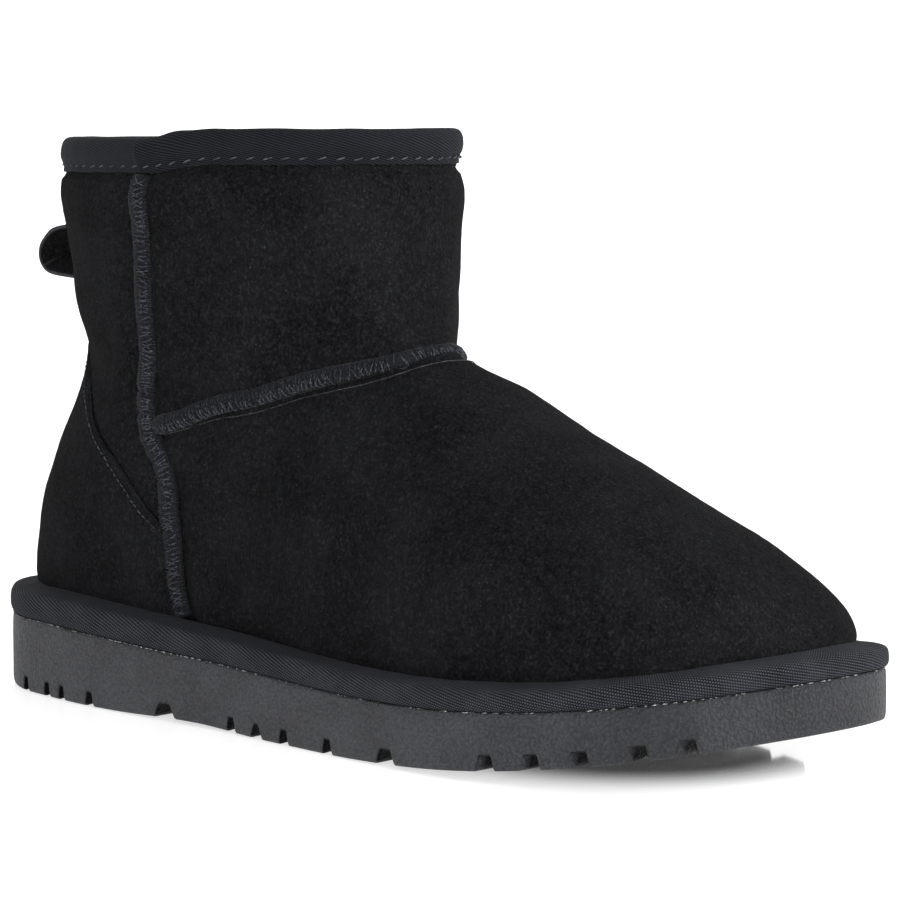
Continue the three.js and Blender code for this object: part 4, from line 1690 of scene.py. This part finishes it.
@dataclass
class Lining:
    """Wool pile inside the boot, on its own hide."""

    boot: BootForm
    finish: Yarn = Yarn("lining wool", dark=(0.007, 0.007, 0.008), pale=(0.03, 0.03, 0.032), rough=0.9)
    columns: int = 300
    rows: int = 56
    top_level: float = 0.945
    hide: float = 2.4
    short: float = 1.4
    blades: int = 30000
    per_tuft: int = 4
    length: tuple[float, float] = (2.0, 3.6)
    first_level: float = 0.004

    def inside(self, turn: Array, level: Array, out: Array | float) -> Array:
        """Points over the inner face of the wall, towards the form."""
        depth = self.boot.wall.at("thick", level)
        return self.boot.form_point(turn, level) - self.boot.normal(turn, level) * (depth - out)[..., None]

    def build(self) -> list[bpy.types.Object]:
        """Builds and dresses the lining's hide and its pile."""
        turn = np.arange(self.columns)[None] * 360 / self.columns
        level = np.linspace(self.first_level, self.top_level, self.rows)[:, None]
        turn_all, level_all = np.broadcast_arrays(turn, level)
        curl = NOISE(self.boot.form_point(turn_all, level_all), 4.0) * 0.5
        near = self.inside(turn_all, level_all, self.short + curl)
        far_level = np.linspace(self.top_level, self.first_level, 12)[:, None]
        far = self.boot.on_skin(turn, far_level, -self.hide)
        hide = make_object("lining_hide", ring_stack(np.concatenate([near, far]), loop=True),
                           self.finish.material())
        dress(hide, "fleece")
        pile = make_object("lining_pile", self.pile(), self.finish.material(), closed=False)
        dress(pile, "fleece")
        return [hide, pile]

    def pile(self) -> Patch:
        """Curled tufts that stand inwards and lie a little downwards."""
        draw = np.random.default_rng(8)
        per = self.per_tuft
        tufts = self.blades // per
        turn = np.repeat(draw.uniform(0, 360, tufts), per) + draw.normal(0, 0.45, tufts * per)
        level = np.repeat(draw.uniform(0.02, 0.93, tufts), per) + draw.normal(0, 0.005, tufts * per)
        level = np.clip(level, 0.02, 0.935)
        roots = self.inside(turn, level, np.full(len(turn), self.short + 0.5))
        inwards = -self.boot.normal(turn, level)
        swirl = np.repeat(draw.normal(0, 0.5, (tufts, 3)), per, axis=0)
        swirl = swirl + draw.normal(0, 0.3, (tufts * per, 3))
        way = unit(inwards + swirl + np.array([0, 0, -0.45]))
        size = draw.uniform(*self.length, len(turn)) * (1 - 0.45 * smooth(level, 0.85, 0.93))
        tips = roots + way * size[:, None]
        bend = np.repeat(draw.normal(0, 0.5, (tufts, 3)), per, axis=0)
        return fibres(roots, tips, 0.3, bend)


@dataclass
class HeelCounter:
    """Heel panel laid over the back of the boot, with a pale cut edge and one stitched row."""

    skin: UpperSkin
    finish: Suede = Suede("heel panel suede")
    thread: Yarn = Yarn("panel thread", dark=(0.02, 0.021, 0.026), pale=(0.075, 0.078, 0.088))
    thick: float = 1.15
    reach: float = 68.8
    columns: int = 181
    rows: int = 72
    rim_rows: int = 14
    rim_share: float = 0.96
    stitch_in: float = 2.1
    stitch_pitch: float = 2.0
    stitch_reach: float = 66.0
    mm_per_level: float = 118.0

    @property
    def edge(self) -> Table:
        """Level of the upper edge by turn."""
        return self.skin.boot.counter_edge

    def place(self, turn: Array, level: Array, out: Array | float = 0.0) -> Array:
        """Points over the panel's face."""
        relief = self.skin.relief(turn, level) * 0.8
        return self.skin.boot.form_point(turn, level) + (
            self.skin.boot.normal(turn, level) * (relief + out)[..., None])

    def build(self) -> list[bpy.types.Object]:
        """Builds and dresses the panel and its stitches."""
        turn = np.linspace(-self.reach, self.reach, self.columns)[None]
        top = self.edge.at("level", np.abs(turn))
        quarter = np.linspace(0, math.pi / 2, self.rim_rows + 1)[1:]
        rim = self.rim_share + (1 - self.rim_share) * np.sin(quarter)
        low = np.linspace(0, self.rim_share, self.rows - self.rim_rows)
        level = top * np.concatenate([low, rim])[:, None]
        turn = turn * (self.skin.side.at("turn", level) + 0.2) / self.reach
        top = self.edge.at("level", np.abs(turn))
        drop = self.skin.boot.form_point(turn, level) - self.skin.boot.form_point(turn, top)
        height = np.linalg.norm(drop, axis=-1)
        near = np.clip(1 - height / 0.4, 0, 1)
        rounding = -0.3 * (1 - np.sqrt(1 - near ** 2)) - 0.2 * bell(height, self.stitch_in, 0.6)
        face = self.place(turn, level, rounding + NOISE(self.place(turn, level), 1.7) * 0.06)
        back = self.place(turn, level, np.full(level.shape, -self.thick))
        patch = sheet_shell(face, back)
        tone = smooth(height, 0.35, 0.1) * 0.7
        patch.tone = np.concatenate([tone.ravel(), np.ones(tone.size)])
        panel = make_object("heel_panel", patch, self.finish.material())
        dress(panel, "suede", "heel_counter")
        stitches = make_object("heel_panel_stitches", self.stitches(), self.thread.material(), closed=False)
        dress(stitches, "suede")
        return [panel, stitches]

    def stitches(self) -> Patch:
        """Running stitches under the upper edge."""
        turn = np.linspace(-self.stitch_reach, self.stitch_reach, 500)
        level = self.edge.at("level", np.abs(turn))
        up = unit(self.skin.boot.form_point(turn, level + 0.01) - self.skin.boot.form_point(turn, level))
        rim = self.place(turn, level)
        along = unit(np.gradient(rim, axis=0))
        square = np.abs((up * np.cross(self.skin.boot.normal(turn, level), along)).sum(-1))
        level = level - self.stitch_in / np.maximum(square, 0.35) / self.mm_per_level
        places = even(np.column_stack([turn, level]), self.place(turn, level), self.stitch_pitch / 8)
        return stitch_row(places, 8, 0.78, 0.1, 0.13, self.place)


def stitch_row(
    places: Array,
    per: int,
    share: float,
    rise: float,
    radius: float,
    surface: Callable[..., Array],
    slant: float = 0.0,
    seed: int = 3,
) -> Patch:
    """Running stitches along a line.

    Args:
        places: Turn and level of even places, several to a stitch.
        per: Places to a stitch and its gap.
        share: Share of the pitch that is stitch.
        rise: How far a stitch stands over the surface, mm.
        radius: Radius of the thread, mm.
        surface: Function from turn, level and distance out to points.
        slant: Rise in level from the start of a stitch to its end.
        seed: Seed of the small differences between stitches.

    Returns:
        The stitches.
    """
    draw = np.random.default_rng(seed)
    count = (len(places) - 1) // per
    share_along = np.linspace(0, 1, 6)
    start = np.arange(count) * per
    run = np.arange(len(places))
    at = start[:, None] + share_along[None] * per * share * draw.uniform(0.9, 1.08, (count, 1))
    turn = np.interp(at, run, places[:, 0])
    level = np.interp(at, run, places[:, 1]) + slant * (share_along - 0.5)
    level = level + draw.normal(0, 0.0008, (count, 1))
    arch = -0.25 + (rise + 0.25) * np.sin(math.pi * share_along) ** 0.5
    paths = surface(turn, level, np.broadcast_to(arch, turn.shape))
    size = radius * np.array([0.7, 1, 1.1, 1.1, 1, 0.7])
    return tubes(paths, size, sides=6)


@dataclass(frozen=True)
class Pass:
    """One pass of overlock thread: lean along the seam, lift, and the share of the rope it crosses."""

    lean: float
    lift: float
    low: float
    high: float
    every: int = 1
    kept: float = 1.0


@dataclass
class SeamRidge:
    """Raised seam: a soft rope of suede bound by slanting overlock thread, with loose fibres."""

    skin: UpperSkin
    name: str
    places: Array
    core: Yarn = Yarn("seam core", dark=(0.0008, 0.0009, 0.0016), pale=(0.0095, 0.01, 0.0128), scale=2.4)
    thread: Yarn = Yarn("seam thread", dark=(0.003, 0.0032, 0.0045), pale=(0.088, 0.093, 0.112), scale=2.6)
    loose: Yarn = Yarn("seam fuzz", dark=(0.003, 0.0032, 0.0045), pale=(0.026, 0.0275, 0.034), scale=1.8)
    half_width: float = 3.3
    height: float = 2.0
    crown: tuple[float, float] = (0.42, 0.78)
    pitch: float = 1.3
    thread_radius: float = 0.13
    fuzz_per_mm: float = 26.0
    seed: int = 4

    def frames(self, step: float) -> tuple[Array, Array, Array, Array]:
        """Points, outward, onward and sideways directions along the seam.

        Args:
            step: Spacing, mm.

        Returns:
            The four arrays, one row for each place.
        """
        places = even(self.places, self.skin.place(*self.places.T), step)
        points = self.skin.place(places[:, 0], places[:, 1])
        normal = self.skin.boot.normal(places[:, 0], places[:, 1])
        along = unit(np.gradient(points, axis=0))
        side = unit(np.cross(normal, along))
        return points, unit(np.cross(along, side)), along, side

    def profile(self, angle: Array, extra: Array | float = 0.0) -> tuple[Array, Array]:
        """Sideways and outward distance of the rope's section at an angle from its side."""
        wide = (self.half_width + extra) * np.cos(angle)
        deep = (self.height + extra) * np.sin(angle) ** 0.8
        return wide, deep

    def build(self) -> list[bpy.types.Object]:
        """Builds and dresses the rope, its thread and its fibres."""
        made = []
        for label, patch, finish, closed in (
            ("core", self.rope(), self.core, True),
            ("binding", self.overlock(self.binding_passes()), self.loose, False),
            ("thread", self.overlock(self.crown_passes()), self.thread, False),
            ("fuzz", self.fuzz(), self.loose, False),
        ):
            piece = make_object(f"{self.name}_{label}", patch, finish.material(), closed=closed)
            dress(piece, "suede")
            made.append(piece)
        return made

    def rope(self) -> Patch:
        """The rope: a half round that sinks into the suede."""
        points, normal, _, side = self.frames(0.55)
        angle = np.linspace(0, math.pi, 15)
        wide, deep = self.profile(angle)
        lump = 0.16 * np.sin(np.arange(len(points))[:, None] * 0.55 / self.pitch * 2 * math.pi)
        ring = points[:, None] + side[:, None] * wide[:, None] + normal[:, None] * deep[:, None]
        rough = NOISE(ring, 2.1) * 0.28 + NOISE(ring, 0.8) * 0.12 + lump * np.sin(angle)
        outward = side[:, None] * np.cos(angle)[:, None] + normal[:, None] * np.sin(angle)[:, None]
        ring = ring + outward * rough[..., None]
        foot = points[:, None] - normal[:, None] * 1.0 + side[:, None] * np.array([-1.6, 1.6])[:, None]
        ring = np.concatenate([ring, foot], axis=1)
        patch = ring_stack(ring)
        around = ring.shape[1]
        ends = np.stack([np.arange(around)[::-1], (len(points) - 1) * around + np.arange(around)])
        patch.faces.append(ends)
        return patch

    def binding_passes(self) -> tuple[Pass, ...]:
        """Dark slanting passes that wrap the whole rope."""
        return (Pass(0.7, 0.0, 0.04, 0.97), Pass(-0.9, 0.05, 0.2, 0.95))

    def crown_passes(self) -> tuple[Pass, ...]:
        """Pale short loops along the crown."""
        low, high = self.crown
        middle = (low + high) / 2
        return (
            Pass(0.9, 0.08, low, high, kept=0.7),
            Pass(-0.7, 0.14, low + 0.04, high - 0.03, kept=0.6),
            Pass(0.25, 0.2, middle - 0.06, high, kept=0.35),
        )

    def overlock(self, passes: Sequence[Pass]) -> Patch:
        """Thread over the rope.

        Args:
            passes: Passes of the thread, each repeated along the seam.

        Returns:
            The thread.
        """
        draw = np.random.default_rng(self.seed + len(passes))
        step = 0.1
        points, normal, _, side = self.frames(step)
        run = np.arange(len(points)) * step
        all_starts = np.arange(self.pitch, run[-1] - 2 * self.pitch, self.pitch)
        all_starts = all_starts + draw.normal(0, 0.2, len(all_starts))
        share = np.linspace(0, 1, 9)
        parts = []
        for one in passes:
            starts = all_starts[::one.every]
            starts = starts[draw.random(len(starts)) < one.kept]
            lean = one.lean + draw.normal(0, 0.3, (len(starts), 1))
            at = starts[:, None] + self.pitch * lean * (share - 0.5)[None]
            at = at + draw.normal(0, 0.06, at.shape)
            angle = math.pi * (one.low + (one.high - one.low) * share)[None]
            angle = angle + draw.normal(0, 0.09, (len(starts), 1))
            wide, deep = self.profile(np.clip(angle, 0, math.pi), 0.05)
            lift = one.lift + draw.normal(0, 0.07, at.shape)
            here = self._blend(at, run, points) + self._blend(at, run, side) * wide[..., None] + (
                self._blend(at, run, normal) * (deep + lift)[..., None])
            parts.append(tubes(here, self.thread_radius * np.array([0.8] + [1] * 7 + [0.8]), sides=5))
        return merge(parts)

    @staticmethod
    def _blend(at: Array, run: Array, values: Array) -> Array:
        """Vectors between the places of a line."""
        return np.stack([np.interp(at, run, values[:, k]) for k in range(3)], -1)

    def fuzz(self) -> Patch:
        """Fine loose fibres on the seam and beside it."""
        draw = np.random.default_rng(self.seed + 40)
        points, normal, along, side = self.frames(0.5)
        count = int(len(points) * 0.5 * self.fuzz_per_mm)
        pick = draw.integers(0, len(points), count)
        angle = draw.uniform(0.02, math.pi - 0.02, count)
        wide, deep = self.profile(angle, draw.uniform(-0.15, 0.1, count))
        jitter = along[pick] * draw.uniform(-0.4, 0.4, (count, 1))
        roots = points[pick] + side[pick] * wide[:, None] + normal[pick] * deep[:, None] + jitter
        outward = side[pick] * np.cos(angle)[:, None] + normal[pick] * np.sin(angle)[:, None]
        way = unit(outward * draw.uniform(0.15, 1, (count, 1)) + draw.normal(0, 0.55, (count, 3)))
        tips = roots + way * draw.uniform(0.3, 1.0, (count, 1))
        return fibres(roots, tips, 0.09, draw.normal(0, 0.18, (count, 3)))


@dataclass
class VampThread:
    """Pale sewn line in the fold under the vamp seam."""

    skin: UpperSkin
    finish: Yarn = Yarn("vamp thread", dark=(0.016, 0.0165, 0.02), pale=(0.055, 0.057, 0.065))
    below: tuple[tuple[float, float], ...] = (
        (68, 2.5), (76, 2.8), (90, 3.9), (112, 3.8), (121, 4.3), (130, 5.1), (140, 5.6), (180, 5.6),
    )
    start_turn: float = 69.5
    radius: float = 0.13

    def build(self) -> bpy.types.Object:
        """Builds and dresses the line."""
        turn = np.linspace(self.start_turn, 360 - self.start_turn, 700)
        rim = self.skin.vamp.at("level", np.abs(fold(turn)))
        step = 0.01
        rise = self.skin.boot.form_point(turn, rim) - self.skin.boot.form_point(turn, rim - step)
        below = np.interp(np.abs(fold(turn)), *np.array(self.below).T)
        level = rim - below * step / np.linalg.norm(rise, axis=-1)
        path = self.skin.place(turn, level, 0.04)
        path += self.skin.boot.normal(turn, level) * (NOISE(path, 2.6) * 0.12)[:, None]
        patch = tubes(path[None], self.radius, sides=6, guide=np.array([0, 0, 1.0]))
        piece = make_object("vamp_thread_line", patch, self.finish.material(), closed=False)
        dress(piece, "suede")
        return piece


@dataclass
class CollarTape:
    """Twill tape folded over the top of the boot: front and back lengths that lap at the sides."""

    skin: UpperSkin
    finish: Twill = Twill(
        "collar tape", hollow=(0.003, 0.0032, 0.0045), rib=(0.0178, 0.0187, 0.0238),
        brushed=(0.0132, 0.0138, 0.0165), pitch=0.62, lean=-0.26, cross=0.5,
    )
    thread: Yarn = Yarn("collar thread", dark=(0.02, 0.021, 0.026), pale=(0.08, 0.083, 0.095))
    columns: int = 620
    rows: int = 64
    section: tuple[tuple[float, float], ...] = (
        (-1.7, 8.0), (-1.5, 8.5), (-1.05, 8.6), (-0.85, 8.2), (-0.95, 7.5), (-0.9, 7.0), (-0.55, 6.2),
        (-0.05, 5), (0.2, 3.5), (0.12, 2.2), (-0.2, 1.2), (-0.8, 0.45), (-1.6, 0.1), (-2.8, 0.0),
        (-4.1, 0.1), (-5.1, 0.5), (-5.7, 1.2), (-6.0, 2.2), (-6.05, 5), (-6, 7.2), (-5.6, 7.6),
        (-5.1, 7.2), (-5.0, 5), (-5, 1.8), (-4.2, 1.1), (-1.8, 1.1), (-1.2, 1.8), (-1.2, 5), (-1.7, 8.0),
    )
    joint_turn: float = 87.6
    lap_rise: float = 0.4
    stitch_drop: float = 6.9
    stitch_pitch: float = 4.6
    bump_at: float = 89.0
    bump: float = 0.9
    crown_rise: float = 0.6
    stitch_depth: float = 0.85

    def level_of(self, turn: Array, drop: Array) -> Array:
        """Level of the places a drop under the top of the collar."""
        top = self.skin.boot.form_point(turn, 1.0)
        height = self.skin.boot.collar_top(top[..., 0]) - self.skin.boot.sole.platform_top(top[..., 0])
        return 1 - drop / height

    def place(self, turn: Array, level: Array, out: Array | float = 0.0) -> Array:
        """Points over the outer face of the tape."""
        lap = self.lap_rise * smooth(np.abs(fold(turn)), self.joint_turn, self.joint_turn + 0.5)
        away = np.asarray(out, float) + lap - self.stitch_depth
        return self.skin.boot.form_point(turn, level) + self.skin.boot.normal(turn, level) * away[..., None]

    def fine_section(self) -> tuple[Array, Array, Array]:
        """Out, drop and run of the section at even steps round it."""
        out, drop = np.array(self.section).T
        run = np.concatenate([[0], np.cumsum(np.hypot(np.diff(out), np.diff(drop)))])
        fine = np.linspace(0, run[-1], self.rows + 1)[:-1]
        return MonotoneCurve(run, out)(fine), MonotoneCurve(run, drop)(fine), fine

    def build(self) -> list[bpy.types.Object]:
        """Builds and dresses the tape and its stitches."""
        out, drop, run = (values[:, None] for values in self.fine_section())
        turn = np.arange(self.columns)[None] * 360 / self.columns
        rim = self.skin.boot.form_point(turn[0], 1.0)
        steps = np.linalg.norm(np.diff(np.vstack([rim, rim[:1]]), axis=0), axis=1)
        along = np.concatenate([[0], np.cumsum(steps)])
        outer = smooth(out, -4.0, -1.0) * smooth(drop, 0, 1.2) * (run < run.max() * 0.5)
        side = np.abs(fold(turn))
        lap = smooth(side, self.joint_turn, self.joint_turn + 0.5) * (1 - 0.8 * smooth(side, 92, 125))
        pull = 0.5 + 0.5 * np.cos(along[None, :-1] / self.stitch_pitch * 2 * math.pi)
        place = self.skin.boot.form_point(turn, self.level_of(turn, drop))
        soft = NOISE(place, 14.0) * 0.3 + NOISE(place, 4.0) * 0.12
        away = out + outer * (self.lap_rise * lap + soft - 0.16 * pull * bell(drop, self.stitch_drop, 0.9))
        rings = place + self.skin.boot.normal(turn, self.level_of(turn, drop)) * away[..., None]
        crown = smooth(drop, 5, 0)
        rise = self.bump * bell(rim[None, :, 0], self.bump_at, 5.0) * (fold(turn) > 0)
        rings[..., 2] += crown * (self.crown_rise + rise + NOISE(rim[None], 9.0) * 0.22)
        rings[..., 2] += bell(drop, 8.5, 0.8) * outer * NOISE(place, 3.5) * 0.25
        uv = np.stack(np.broadcast_arrays(along[None, :-1], run), -1)
        patch = ring_stack(rings, uv, loop=True)
        patch.lap = float(along[-1])
        back = 1 - smooth(side, self.joint_turn, self.joint_turn + 0.4)
        tone = 0.7 * back + bell(side, self.joint_turn + 0.2, 0.35)
        patch.tone = np.broadcast_to(tone, rings.shape[:2]).ravel()
        tape = make_object("collar_tape", patch, self.finish.material())
        dress(tape, "tape", "collar_binding")
        stitches = make_object("collar_stitches", self.stitches(), self.thread.material(), closed=False)
        dress(stitches, "tape")
        return [tape, stitches]

    def stitches(self) -> Patch:
        """Slanting running stitches over the lower edge."""
        turn = np.linspace(0, 360, 1200)
        level = self.level_of(turn, self.stitch_drop)
        places = even(np.column_stack([turn, level]), self.place(turn, level), self.stitch_pitch / 10)
        return stitch_row(places, 10, 0.5, 0.12, 0.2, self.place, slant=0.0045, seed=31)


@dataclass
class PullLoop:
    """Suede pull loop at the back: a narrow strip, twisted in its lower half, sewn at its ends."""

    skin: UpperSkin
    finish: Suede = Suede("loop suede", edge=(0.07, 0.072, 0.078))
    thread: Yarn = Yarn("loop thread", dark=(0.02, 0.021, 0.026), pale=(0.085, 0.088, 0.1))
    height: float = 116.5
    width: float = 11.0
    thick: float = 1.5
    steps: int = 12
    sewn_rings: tuple[int, int] = (14, 30)
    crease_at: int = 89
    crease_tone: float = 0.45
    stitched_width: float = 10.0
    stitch_length: float = 1.35
    route: tuple[tuple[float, float, float], ...] = (
        (1.2, 12.6, 0), (1.3, 9.8, 0), (4.5, 8.2, 0), (11, 7.8, 4), (18, 6.2, 10), (22.6, 2.8, 18),
        (23.8, 0.2, 26), (23.6, -1.3, 29), (22.2, -2.4, 32), (18, -3.1, 32), (12, -3.5, 32),
        (6, -3.8, 28), (1.6, -5.8, 12), (1.2, -9.2, 0),
    )

    def line(self) -> tuple[Array, Array]:
        """Points of the strip's middle line and its twist at each, on a smooth curve."""
        out, up, twist = np.array(self.route).T
        z = self.height + up
        back = self.skin.boot.grid[:, 0]
        x = np.interp(z, back[:, 2], back[:, 0]) - out
        knots = np.column_stack([x, z, twist])
        padded = np.vstack([2 * knots[0] - knots[1], knots, 2 * knots[-1] - knots[-2]])
        fine = []
        for i in range(len(knots) - 1):
            a, b, c, d = padded[i:i + 4]
            t = (np.arange(self.steps) / self.steps)[:, None]
            fine.append(0.5 * (2 * b + (c - a) * t + (2 * a - 5 * b + 4 * c - d) * t ** 2
                               + (3 * b - a - 3 * c + d) * t ** 3))
        curve = np.vstack([*fine, knots[-1:]])
        y = float(self.skin.boot.leg.at("centre", self.height))
        return np.column_stack([curve[:, 0], np.full(len(curve), y), curve[:, 1]]), np.radians(curve[:, 2])

    def build(self) -> list[bpy.types.Object]:
        """Builds and dresses the strip and its stitches."""
        points, twist = self.line()
        along = unit(np.gradient(points, axis=0))
        level = np.array([0.0, 1.0, 0.0])
        lifted = np.cross(along, level)
        wide = level * np.cos(twist)[:, None] + lifted * np.sin(twist)[:, None]
        deep = np.cross(along, wide)
        angle = np.linspace(0, 2 * math.pi, 40, endpoint=False)
        across = np.sign(np.cos(angle)) * np.abs(np.cos(angle)) ** 0.35 * self.width / 2
        through = np.sign(np.sin(angle)) * np.abs(np.sin(angle)) ** 0.6 * self.thick / 2
        order = np.arange(len(points))
        free = smooth(order, *self.sewn_rings) * smooth(order[::-1], *self.sewn_rings)
        cup = free[:, None] * (1 - (across / self.width * 2) ** 2) * 0.7
        rings = points[:, None] + wide[:, None] * across[:, None]
        rings = rings + deep[:, None] * (through + cup)[..., None]
        rings = rings + (NOISE(rings, 6.0) * 0.2 + NOISE(rings, 2.0) * 0.06)[..., None] * deep[:, None]
        patch = ring_stack(rings)
        around = len(angle)
        last = (len(points) - 1) * around
        patch.faces.append(np.stack([np.arange(around)[::-1], last + np.arange(around)]))
        tone = smooth(np.abs(across), self.width / 2 - 0.5, self.width / 2 - 0.1)
        crease = self.crease_tone * bell(order, self.crease_at, 1.6)
        patch.tone = np.clip(tone + crease[:, None], 0, 1).ravel()
        strip = make_object("pull_loop_strip", patch, self.finish.material())
        dress(strip, "suede", "pull_loop")
        stitches = make_object("pull_loop_stitches", self.stitches(points), self.thread.material(), False)
        dress(stitches, "suede")
        return [strip, stitches]

    def stitches(self, points: Array) -> Patch:
        """Two short rows across each sewn end."""
        paths = []
        share = np.linspace(0, 1, 6)
        arch = np.sin(math.pi * share) ** 0.5 * 0.3 - 0.15
        outwards = np.array([-1.0, 0, 0])
        sideways = np.array([0, 1.0, 0])
        for place in (3, 9, len(points) - 10, len(points) - 4):
            for start in np.arange(-0.4, 0.32, 0.19) * self.stitched_width:
                path = points[place] + sideways * (start + self.stitch_length * share)[:, None]
                paths.append(path + outwards * (self.thick / 2 + arch)[:, None])
        return tubes(np.stack(paths), 0.2, sides=6, guide=np.array([0.9, 0.1, 0.4]))


# ---- studio ------------------------------------------------------------------------------------
@dataclass(frozen=True)
class AreaLight:
    """Soft box: its place and aim in metres, its size, power and colour."""

    name: str
    place: tuple[float, float, float]
    aim: tuple[float, float, float]
    size: float
    power: float
    colour: Colour = (1.0, 1.0, 1.0)

    def build(self) -> bpy.types.Object:
        """Places the light."""
        lamp = bpy.data.lights.new(self.name, "AREA")
        lamp.shape = "SQUARE"
        lamp.size = self.size
        lamp.energy = self.power
        lamp.color = self.colour
        light = bpy.data.objects.new(self.name, lamp)
        light.location = self.place
        light.rotation_euler = (Vector(self.aim) - Vector(self.place)).to_track_quat("-Z", "Y").to_euler()
        bpy.context.scene.collection.objects.link(light)
        return light


@dataclass
class Studio:
    """Pale floor, soft light and the camera."""

    azimuth: float = 42.0
    pitch: float = 5.427
    lens: float = 138.6
    distance: float = 879.2
    aside: float = 11.1
    aim_station: float = 135.0
    height: float = 153.4
    floor_size: float = 200.0
    floor_drop: float = 0.0002
    floor_glow: float = 0.6
    gloss_at: tuple[float, float] = (193.9, 19.4)
    gloss_size: tuple[float, float] = (64.0, 67.0)
    gloss_share: float = 0.9
    sky: float = 0.62
    backdrop: float = 1.05
    lights: tuple[AreaLight, ...] = (
        AreaLight("key", (1.35, -0.3, 0.75), (0.15, 0, 0.05), 0.6, 7.0),
        AreaLight("fill", (1.2, -1.15, 0.3), (0.14, 0, 0.03), 0.9, 22.0),
        AreaLight("rim", (1.1, 0.85, 0.5), (0.12, 0, 0.07), 0.35, 13.0),
    )

    def build(self) -> None:
        """Builds the floor, the light and the camera."""
        self.make_floor()
        self.make_sky()
        for light in self.lights:
            light.build()
        self.make_camera()
        bpy.context.scene.view_settings.view_transform = "Standard"

    def make_floor(self) -> None:
        """A pale floor with a faint gloss."""
        half = self.floor_size / 2
        mesh = bpy.data.meshes.new("floor")
        corners = [(-half, -half), (half, -half), (half, half), (-half, half)]
        mesh.from_pydata([(x, y, -self.floor_drop) for x, y in corners], [], [(0, 1, 2, 3)])
        material, g, shader = new_material("floor")
        place = g.add("TexCoord").outputs["Object"]
        tone = g.noise(place, 3.0)
        g.link(g.blend(tone, (0.86, 0.86, 0.86), (0.88, 0.88, 0.88)), shader.inputs["Base Color"])
        mapping = g.add("Mapping", vector_type="TEXTURE")
        station, aside = self.gloss_at
        mapping.inputs["Location"].default_value = ((station + heel_back()) * MM, aside * MM, 0)
        mapping.inputs["Rotation"].default_value = (0, 0, math.radians(self.azimuth))
        mapping.inputs["Scale"].default_value = (self.gloss_size[0] * MM, self.gloss_size[1] * MM, 1)
        g.link(place, mapping.inputs["Vector"])
        away = g.add("VectorMath", operation="LENGTH")
        g.link(mapping, away.inputs[0])
        near = g.math("SUBTRACT", 1.0, g.ramp(away.outputs["Value"], 0.6, 1.0))
        g.link(g.math("MULTIPLY", near, self.gloss_share), shader.inputs["Metallic"])
        g.link(g.blend(near, (1.0, 1.0, 1.0), (0.08, 0.08, 0.08)), shader.inputs["Emission Color"])
        shader.inputs["Roughness"].default_value = 0.1
        shader.inputs["Emission Strength"].default_value = self.floor_glow
        shader.inputs["Specular IOR Level"].default_value = 0.5
        mesh.materials.append(material)
        floor = bpy.data.objects.new("floor", mesh)
        bpy.context.scene.collection.objects.link(floor)

    def make_sky(self) -> None:
        """Even white light from all round."""
        world = bpy.data.worlds.new("studio")
        world.use_nodes = True
        g = Graph(world.node_tree)
        path = g.add("LightPath")
        seen = g.math("MAXIMUM", path.outputs["Is Camera Ray"], path.outputs["Is Glossy Ray"])
        strength = g.math("MULTIPLY_ADD", seen, self.backdrop - self.sky, self.sky)
        g.link(strength, world.node_tree.nodes["Background"].inputs["Strength"])
        world.node_tree.nodes["Background"].inputs["Color"].default_value = (1, 1, 1, 1)
        bpy.context.scene.world = world

    def make_camera(self) -> None:
        """The camera, aimed past the front of the side seam."""
        turn, pitch = math.radians(self.azimuth), math.radians(self.pitch)
        back = Vector((math.sin(turn), -math.cos(turn), 0))
        right = Vector((math.cos(turn), math.sin(turn), 0))
        foot = Vector((self.aim_station + heel_back(), 0, 0))
        lens = bpy.data.cameras.new("camera")
        lens.lens = self.lens
        lens.sensor_width = 36.0
        lens.clip_start = 0.05
        camera = bpy.data.objects.new("camera", lens)
        up = Vector((0, 0, self.height))
        camera.location = (foot + back * self.distance + right * self.aside + up) * MM
        look = -back * math.cos(pitch) + Vector((0, 0, -math.sin(pitch)))
        camera.rotation_euler = look.to_track_quat("-Z", "Y").to_euler()
        bpy.context.scene.collection.objects.link(camera)
        bpy.context.scene.camera = camera


def seam_places(skin: UpperSkin) -> dict[str, Array]:
    """Turns and levels of the raised seams, by name."""
    level = np.linspace(0.004, skin.tape_edge, 400)
    side = skin.side.at("turn", level)
    turn = np.linspace(skin.vamp_start, 360 - skin.vamp_start, 700)
    vamp = skin.vamp.at("level", np.abs(fold(turn)))
    return {
        "outer_side_seam": np.column_stack([side, level]),
        "inner_side_seam": np.column_stack([-side, level])[::-1],
        "vamp_seam": np.column_stack([turn, vamp]),
    }


def main() -> None:
    """Builds the boot piece by piece, then the studio."""
    logging.basicConfig(level=logging.INFO, format="%(name)s %(message)s")
    sole = SoleForm()
    boot = BootForm(sole)
    skin = UpperSkin(boot)
    Outsole(sole).build()
    Midsole(sole).build()
    Insole(sole).build()
    skin.build()
    Lining(boot).build()
    HeelCounter(skin).build()
    for seed, (name, places) in enumerate(seam_places(skin).items()):
        ridge = SeamRidge(skin, name, places, seed=seed + 4)
        if name == "vamp_seam":
            ridge = replace(ridge, half_width=2.4, height=1.9, crown=(0.5, 0.93))
        ridge.build()
    VampThread(skin).build()
    CollarTape(skin).build()
    PullLoop(skin).build()
    Studio().build()


if __name__ == "__main__":
    main()
